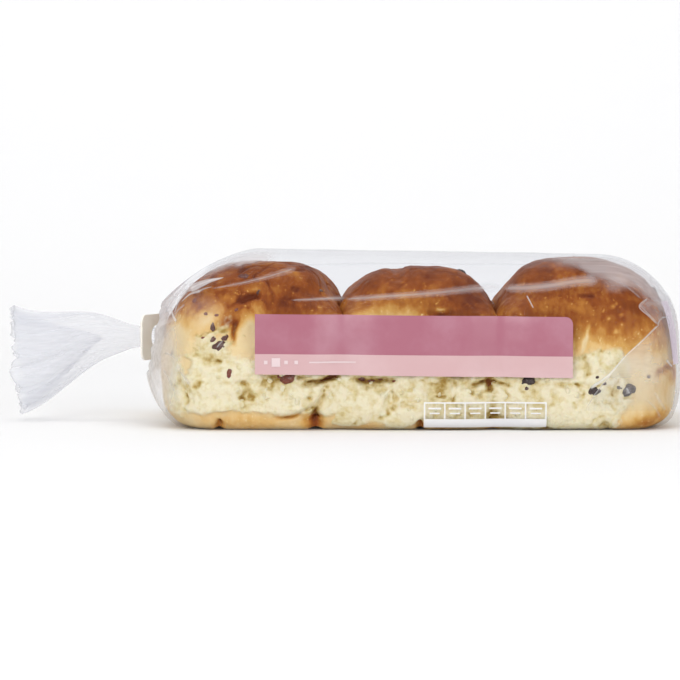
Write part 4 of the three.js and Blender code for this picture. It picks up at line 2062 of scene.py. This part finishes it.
@dataclass(frozen=True)
class Pebble:
    """A lump in a bun's skin, a raisin or a tuft of crumb: sizes, turn from level in degrees, how deep
    it is sunk as a share of its width, and how far it strays from an ellipsoid.
    """

    long: float
    wide: float
    thick: float
    lean: float
    sunk: float
    rough: float
    rows: int = 12
    columns: int = 18

    BULK = 1.2
    FOLDS, FOLD_SHARE = 2.4, 0.3

    def skin(self, centre: Array, normal: Array, seed: int, masks: dict[str, float]) -> Skin:
        """The lump on a bun's skin: an ellipsoid, its surface wrinkled by noise.

        Args:
            centre: Point of the bun's skin.
            normal: The skin's normal there.
            seed: Seed of its wrinkles.
            masks: Values for the finish.

        Returns:
            The lump's skin.
        """
        level = np.cross([0, 0, 1], normal)
        level = level / max(np.linalg.norm(level), TINY)
        turn = math.radians(self.lean)
        axis = level * math.cos(turn) + np.cross(normal, level) * math.sin(turn)
        other = np.cross(normal, axis)
        polar = math.pi * along(self.rows + 2)[1:-1]
        turns = around(self.columns)
        ball = stacked(np.sin(polar) * np.cos(turns), np.sin(polar) * np.sin(turns), -np.cos(polar))
        noise = Noise(seed)
        folds = self.FOLD_SHARE * noise.ridged(ball * self.FOLDS, 1)
        swell = 1 + self.rough * (noise.layered(ball * self.BULK, 1, 2) + folds)
        seat = centre - normal * self.sunk * self.wide
        axes = np.stack([axis * self.long, other * self.wide, normal * self.thick]) * 0.5
        points = seat + (ball * swell[..., None]) @ axes
        tips = [points[row].mean(axis=0) for row in (0, -1)]
        values = {name: np.full(points.shape[:2], value) for name, value in masks.items()}
        return Skin(points, first_tip=tips[0], last_tip=tips[1], masks=values)


@dataclass(frozen=True)
class FruitSpot:
    """A raisin that shows on the front: place along and up, length, width, lean in degrees and tone."""

    x: float
    z: float
    long: float
    wide: float
    lean: float
    tone: float


@dataclass
class DriedFruit:
    """Raisins and currants, each a wrinkled pebble half sunk into a bun."""

    buns: list[Bun]
    room: FilmRoom
    spots: tuple[FruitSpot, ...] = rows_of(
        FruitSpot,
        (-55.1, 45.2, 5.8, 2.4, 85, 0.3), (-52.6, 37.4, 6, 4.4, 35, 0.25),
        (-50.2, 39.9, 3.8, 3, 60, 0.35), (-54.9, 39.8, 3, 2.4, 70, 0.4),
        (-63.7, 55.7, 3, 1.7, 75, 0.85), (-58.5, 50.1, 2, 1.6, 0, 0.8),
        (-53.8, 50.3, 1.7, 1.4, 0, 0.9), (-44.9, 52.3, 2.4, 1.5, 40, 0.85),
        (-59.8, 40.1, 2, 1.5, 20, 0.95), (-42, 66.6, 5.4, 3.2, 5, 0.5),
        (-48.1, 25.4, 4, 2.2, 78, 0.85), (-73.6, 33, 3.2, 1.6, 70, 0.2),
        (-22.8, 22.3, 6.6, 4.6, 25, 0.8), (-26.2, 23.6, 3, 2, 10, 0.95),
        (-36, 60, 2.8, 1.8, 60, 0.3), (-8.5, 60.5, 2.2, 1.6, 0, 0.2),
        (9.6, 22.6, 5.6, 3.8, 12, 0.5), (13.2, 21.6, 3.2, 2.2, -20, 0.6),
        (17.6, 22.2, 2.8, 1.2, -5, 0.9), (23.4, 21.6, 2.4, 1.8, 40, 0.85),
        (82.5, 21.9, 6.4, 3.6, 5, 0), (110.6, 17.1, 5.4, 3.6, 8, 0),
        (124.9, 17.6, 6.6, 5.4, 30, 0), (121.4, 18.9, 3, 1.6, -20, 0),
        (134.6, 23.5, 2, 1.8, 0, 0.2), (111.6, 23.4, 1.5, 1.3, 0, 0.1),
        (114.7, 20.4, 2, 1.4, 30, 0.2), (81.2, 18.7, 1.8, 1.4, 0, 0.2),
    )
    scattered: int = 14
    front_depth: float = 8
    lowest: float = 11
    below_top: float = 2
    length: Range = (3, 8)
    slimness: Range = (0.5, 0.8)
    paleness: Range = (0, 0.7)
    seed: int = 71
    flatness: float = 0.8
    sunk: float = 0.2
    roughness: float = 0.3
    soft_limit: float = 0.6

    def raisin(self, centre: Array, normal: Array, spot: FruitSpot, number: int) -> Skin:
        """One raisin on a bun's skin."""
        thick = self.flatness * spot.wide
        lump = Pebble(spot.long, spot.wide, thick, spot.lean, self.sunk, self.roughness)
        skin = lump.skin(centre, normal, self.seed + number, {"tone": spot.tone})
        return skin.moved(lambda points: self.room.press(points, self.soft_limit))

    def on_front(self, spot: FruitSpot, number: int) -> Skin:
        """A raisin at its place on the front row, on the nearest point of a bun's front.

        Args:
            spot: The raisin's place and form.
            number: Its number, for its wrinkles.

        Returns:
            The raisin's skin.
        """
        found = []
        for bun in self.buns:
            points = bun.skin.points
            away = np.hypot(points[..., 0] - spot.x, points[..., 2] - spot.z)
            away = np.where((points[..., 1] < bun.y) & (bun.y < 0), away, np.inf)
            place = np.unravel_index(np.argmin(away), away.shape)
            found.append((away[place], points[place], bun.normals[place]))
        _, centre, normal = min(found, key=lambda row: row[0])
        return self.raisin(centre, normal, spot, number)

    def scatter(self, bun: Bun, draw: np.random.Generator, first: int) -> list[Skin]:
        """Raisins at random places of a bun, away from the front that is already set out.

        Args:
            bun: The bun.
            draw: The random numbers.
            first: Number of the first raisin.

        Returns:
            One skin for each raisin.
        """
        points = bun.skin.points.reshape(-1, 3)
        normals = bun.normals.reshape(-1, 3)
        hidden = (points[:, 1] > bun.y - self.front_depth) | (bun.y > 0)
        band = (points[:, 2] > self.lowest) & (points[:, 2] < bun.height - self.below_top)
        picks = draw.choice(np.flatnonzero(hidden & band), self.scattered, replace=False)
        found = []
        for number, pick in enumerate(picks):
            long = draw.uniform(*self.length)
            wide = long * draw.uniform(*self.slimness)
            lean, tone = draw.uniform(0, HALF_TURN_DEG), draw.uniform(*self.paleness)
            spot = FruitSpot(*points[pick, ::2], long, wide, lean, tone)
            found.append(self.raisin(points[pick], normals[pick], spot, first + number))
        return found

    def build(self, finish: Material) -> Piece:
        """Make all raisins as one piece."""
        draw = np.random.default_rng(self.seed)
        skins = [self.on_front(spot, number) for number, spot in enumerate(self.spots)]
        for bun in self.buns:
            skins += self.scatter(bun, draw, len(skins))
        return make_piece("raisins", skins, finish)


@dataclass
class CrumbTufts:
    """Small tufts of crumb that stand off the torn sides."""

    buns: list[Bun]
    count: int = 30
    seed: int = 83
    torn_least: float = 0.8
    levels: Range = (4, 36)
    length: Range = (1.3, 3.2)
    slimness: Range = (0.5, 0.9)
    thickness: float = 0.8
    most_painted_shade: float = 0.18
    grid: tuple[int, int] = (9, 13)
    sunk: float = 0.12
    roughness: float = 0.4

    def build(self, finish: Material) -> Piece:
        """Make all tufts as one piece: pebbles of crumb at random places of the torn sides.

        Args:
            finish: The bread's material.

        Returns:
            The tufts as one piece.
        """
        draw = np.random.default_rng(self.seed)
        skins = []
        for bun in self.buns:
            points = bun.skin.points
            torn = bun.skin.masks["torn"] > self.torn_least
            outer = np.abs(points[..., 1]) > ROW_Y
            low, high = self.levels
            band = (points[..., 2] > low) & (points[..., 2] < high)
            free = np.argwhere(torn & outer & band)
            for row, column in draw.choice(free, self.count, replace=False):
                long = draw.uniform(*self.length)
                wide = long * draw.uniform(*self.slimness)
                lean = draw.uniform(0, HALF_TURN_DEG)
                form = (long, wide, self.thickness * wide, lean, self.sunk, self.roughness)
                tuft = Pebble(*form, *self.grid)
                seat, normal = points[row, column], bun.normals[row, column]
                # Each tuft takes a little random painted shade of the crumb.
                masks = {"bake": 0, "torn": 1, "painted_crumb_shade": draw.uniform(0, self.most_painted_shade)}
                skins.append(tuft.skin(seat, normal, self.seed + len(skins), masks))
        return make_piece("crumb_tufts", skins, finish)


# The print


@dataclass(frozen=True)
class PrintField:
    """A printed field: its ends, the levels of its lower and upper edges at both ends, the radius of
    its upper right corner and how far it lies off the film.
    """

    left: float
    right: float
    low: Range
    high: Range
    corner: float = 0
    lift: float = 0.24

    ROWS_PER_MM, COLUMNS_PER_MM = 1.1, 0.9
    LEAST = 3
    CORNER_ROWS = 9

    @classmethod
    def level(cls, left: float, right: float, low: float, high: float, **more: float) -> "PrintField":
        """A field with level edges."""
        return cls(left, right, (low, low), (high, high), **more)

    def skin(self, relief: Relief) -> Skin:
        """The field as a grid on the film, its right edge drawn in round the corner.

        Args:
            relief: The side of the film that it lies on.

        Returns:
            The field's skin.
        """
        rows = max(self.LEAST, int(self.ROWS_PER_MM * (self.high[0] - self.low[0])) + 2)
        columns = max(self.LEAST, int(self.COLUMNS_PER_MM * (self.right - self.left)) + 2)
        up = along(rows)
        if self.corner > 0:
            knee = 1 - self.corner / (self.high[1] - self.low[1])
            bend = np.sin(0.5 * math.pi * along(self.CORNER_ROWS))
            up = np.concatenate([knee * along(rows)[:-1], lerp(knee, 1, bend)])
            turn = np.clip((up - knee) / (1 - knee), 0, 1)
            right = self.right - self.corner * (1 - np.sqrt(1 - turn ** 2))
        else:
            right = np.full_like(up, self.right)
        share = np.linspace(0, 1, columns)[None, :]
        x = lerp(self.left, right, share)
        run = (x - self.left) / (self.right - self.left)
        z = lerp(lerp(*self.low, run), lerp(*self.high, run), up)
        return Skin(relief.place(x, z, self.lift), wraps=False)


@dataclass
class FrontPrint:
    """The two-tone field, its marks, the white frames and bar below it, and a strip on the end."""

    relief: FrontRelief
    fold: EndRelief
    left: float = -36.9
    right: float = 101
    top: Range = (50.9, 49.6)
    split: Range = (33.6, 32.5)
    bottom: Range = (24.8, 23.2)
    corner: float = 3.2
    frame_ends: Range = (36.4, 89.7)
    frame_top: float = 12.7
    frame_low: float = 5.4
    bar_low: float = 1.7
    boxes: int = 6
    line: float = 0.6
    mark_left: float = -32.2
    mark_pitch: float = 4.4
    mark_low: float = 28.1
    marks: tuple[float, ...] = (1.6, 3.8, 1.6, 1.6)
    mark_line: Range = (-13.4, 7)
    mark_line_width: float = 0.7
    mark_lift: float = 0.42
    strip: PrintField = PrintField.level(-55, -44, 28, 55.5, lift=0.14)
    box_bars: tuple[Triple, ...] = ((0.62, 9.6, 0.7), (0.5, 7.6, 0.55))

    def mark_fields(self) -> list[PrintField]:
        """A row of small plain squares and a thin line on the pale field.

        Returns:
            The squares and the line.
        """
        middle = self.mark_low + 0.5 * max(self.marks)
        lines = [(*self.mark_line, self.mark_line_width)]
        for number, size in enumerate(self.marks):
            centre = self.mark_left + number * self.mark_pitch
            lines.insert(number, (centre - 0.5 * size, centre + 0.5 * size, size))
        return [
            PrintField.level(start, end, middle - 0.5 * tall, middle + 0.5 * tall, lift=self.mark_lift)
            for start, end, tall in lines
        ]

    def frame_fields(self) -> list[PrintField]:
        """Six open boxes in a row over a solid bar, with two short bars in each box.

        Returns:
            The bar, the boxes' edges and the short bars.
        """
        (left, right), half = self.frame_ends, 0.5 * self.line
        fields = [
            PrintField.level(left, right, self.bar_low, self.frame_low),
            PrintField.level(left, right, self.frame_top - self.line, self.frame_top),
        ]
        low, high = self.frame_low, self.frame_top - self.line
        for place in np.linspace(left + half, right - half, self.boxes + 1):
            fields.append(PrintField.level(place - half, place + half, low, high))
        pitch = (right - left - self.line) / self.boxes
        for number in range(self.boxes):
            centre = left + half + (number + 0.5) * pitch
            for share, low, tall in self.box_bars:
                reach = 0.5 * share * pitch
                fields.append(PrintField.level(centre - reach, centre + reach, low, low + tall))
        return fields

    def build(self) -> list[Piece]:
        """Make the printed pieces, each in its own ink. The end's thin strip throws no shadow.

        Returns:
            The pieces.
        """
        upper = PrintField(self.left, self.right, self.split, self.top, self.corner)
        lower = PrintField(self.left, self.right, self.bottom, self.split)
        sheets = (
            ("print_rose_field", [upper], ROSE_INK, "print"),
            ("print_pale_field", [lower], PALE_INK, "print"),
            ("print_marks", self.mark_fields(), BLUSH_INK, "white_print"),
            ("print_frames", self.frame_fields(), WHITE_INK, "white_print"),
        )
        pieces = [
            make_piece(name, [part.skin(self.relief) for part in fields], ink.material())
            for name, fields, ink, slot in sheets
        ]
        end = [self.strip.skin(self.fold)]
        strip = make_piece("print_end_strip", end, LILAC_INK.material())
        strip.visible_shadow = False
        return pieces + [strip]


# The studio


@dataclass
class Studio:
    """A pale sweep, soft lamps and the camera at the photo's angle."""

    view_elevation: float = 3
    view_distance: float = 2000
    view_width: float = 306
    view_level: float = 35.9
    sensor: float = 36
    sweep_front: float = -5000
    sweep_back: float = 900
    sweep_radius: float = 500
    sweep_height: float = 2200
    sweep_half_width: float = 5000
    sweep_steps: int = 24
    floor_colour: Colour = (0.9, 0.9, 0.905)
    floor_roughness: float = 0.8
    floor_shine: float = 0.1
    world_strength: float = 0.4
    film_layers: int = 48

    def build_sweep(self) -> Piece:
        """Make the floor and backdrop: a flat run, a quarter circle and a wall, drawn sideways.

        The wall is clear from behind, so that the bag's back can be looked at too.

        Returns:
            The sweep.
        """
        bend = np.linspace(0, 0.5 * math.pi, self.sweep_steps)
        start = self.sweep_back - self.sweep_radius
        depth = np.concatenate([
            [self.sweep_front], start + self.sweep_radius * np.sin(bend), [self.sweep_back],
        ])[:, None]
        level = np.concatenate([
            [0], self.sweep_radius * (1 - np.cos(bend)), [self.sweep_height],
        ])[:, None]
        side = np.linspace(-self.sweep_half_width, self.sweep_half_width, 3)[None, :]
        points = stacked(side, depth, level) * MM
        material, tree = new_material("pale_sweep")
        shader = tree.add("BsdfPrincipled", {
            "Base Color": opaque(self.floor_colour),
            "Roughness": self.floor_roughness,
            "Specular IOR Level": self.floor_shine,
        })
        behind = tree.add("NewGeometry").outputs["Backfacing"]
        clear = tree.add("BsdfTransparent", {"Color": opaque(EVEN)})
        faced = tree.add("MixShader", {0: behind, 1: shader.outputs[0], 2: clear.outputs[0]})
        tree.finish(faced)
        mesh = bpy.data.meshes.new("sweep")
        faces = grid_faces(*points.shape[:2], False)
        mesh.from_pydata(points.reshape(-1, 3).tolist(), [], faces.tolist())
        mesh.shade_smooth()
        mesh.materials.append(material)
        sweep = bpy.data.objects.new("sweep", mesh)
        bpy.context.scene.collection.objects.link(sweep)
        return sweep

    def lamp(self, name: str, place: Triple, aim: Triple, size: Range, power: float) -> None:
        """Hang a soft rectangular lamp.

        Args:
            name: The lamp's name.
            place: Where it hangs, in metres.
            aim: The point it shines at, in metres.
            size: Width and height, in metres.
            power: Power in watts.
        """
        data = bpy.data.lights.new(name, "AREA")
        data.shape = "RECTANGLE"
        data.size, data.size_y = size
        data.energy = power
        lamp = bpy.data.objects.new(name, data)
        lamp.location = place
        lamp.rotation_euler = Vector(np.subtract(aim, place)).to_track_quat("-Z", "Y").to_euler()
        lamp.visible_camera = False
        bpy.context.scene.collection.objects.link(lamp)

    def light(self) -> None:
        """Hang the lamps and set an even grey surround."""
        self.lamp("overhead", (0, -0.1, 1.3), (0, 0, 0), (1.6, 1.2), 5.5)
        self.lamp("front_left", (-0.8, -1.5, 0.75), (0, 0, 0.04), (1.2, 1), 14)
        self.lamp("front_right", (1, -1.5, 0.55), (0, 0, 0.04), (1.2, 1), 10)
        self.lamp("backdrop", (0, 0.2, 1.8), (0, 0.9, 0.6), (2.4, 0.6), 5)
        world = bpy.data.worlds.new("studio")
        world.use_nodes = True
        shade = world.node_tree.nodes["Background"]
        shade.inputs["Color"].default_value = opaque(EVEN)
        shade.inputs["Strength"].default_value = self.world_strength
        bpy.context.scene.world = world

    def aim_camera(self) -> None:
        """Place the camera in front of the bag, a little above it."""
        lean = math.radians(self.view_elevation)
        data = bpy.data.cameras.new("camera")
        data.sensor_width = self.sensor
        data.lens = self.sensor * self.view_distance / self.view_width
        camera = bpy.data.objects.new("camera", data)
        back = np.array([0, -math.cos(lean), math.sin(lean)]) * self.view_distance
        camera.location = (back + [0, 0, self.view_level]) * MM
        camera.rotation_euler = (0.5 * math.pi - lean, 0, 0)
        bpy.context.scene.collection.objects.link(camera)
        bpy.context.scene.camera = camera

    def build(self) -> None:
        """Set up the sweep, the lamps, the camera and the plain view of colours."""
        self.build_sweep()
        self.light()
        self.aim_camera()
        bpy.context.scene.view_settings.view_transform = "Standard"
        bpy.context.scene.cycles.transparent_max_bounces = self.film_layers


def main() -> None:
    """Build the studio, then every piece in order from the inside out."""
    logging.basicConfig(level=logging.INFO, format="%(name)s %(message)s")
    Studio().build()
    low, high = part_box(BAG_NODE)
    form = FilmForm(half_length=0.5 * (high.x - low.x) / MM, half_depth=0.5 * (high.y - low.y) / MM)
    relief, fold = FrontRelief(form), EndRelief.folded(form)
    room = FilmRoom(relief, fold, EndRelief.gathered(form))
    bread = BreadFinish().material()
    buns = front_row() + back_row()
    for bun in buns:
        bun.shape(room)
        bun.build(bread)
    DriedFruit(buns, room).build(FruitFinish().material())
    CrumbTufts(buns).build(bread)
    film = FilmFinish().material()
    FilmBag(form).build(film)
    FilmTail(form).build(film)
    FilmCreasesAndHighlights(relief, fold).build(film)
    FilmFlap(relief).build(film)
    FrontPrint(relief, fold).build()
    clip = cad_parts[CLIP_NODE]
    clip.data.materials.clear()
    clip.data.materials.append(ClipFinish().material())
    LOG.info("%s: dressed", CLIP_NODE)


if __name__ == "__main__":
    main()
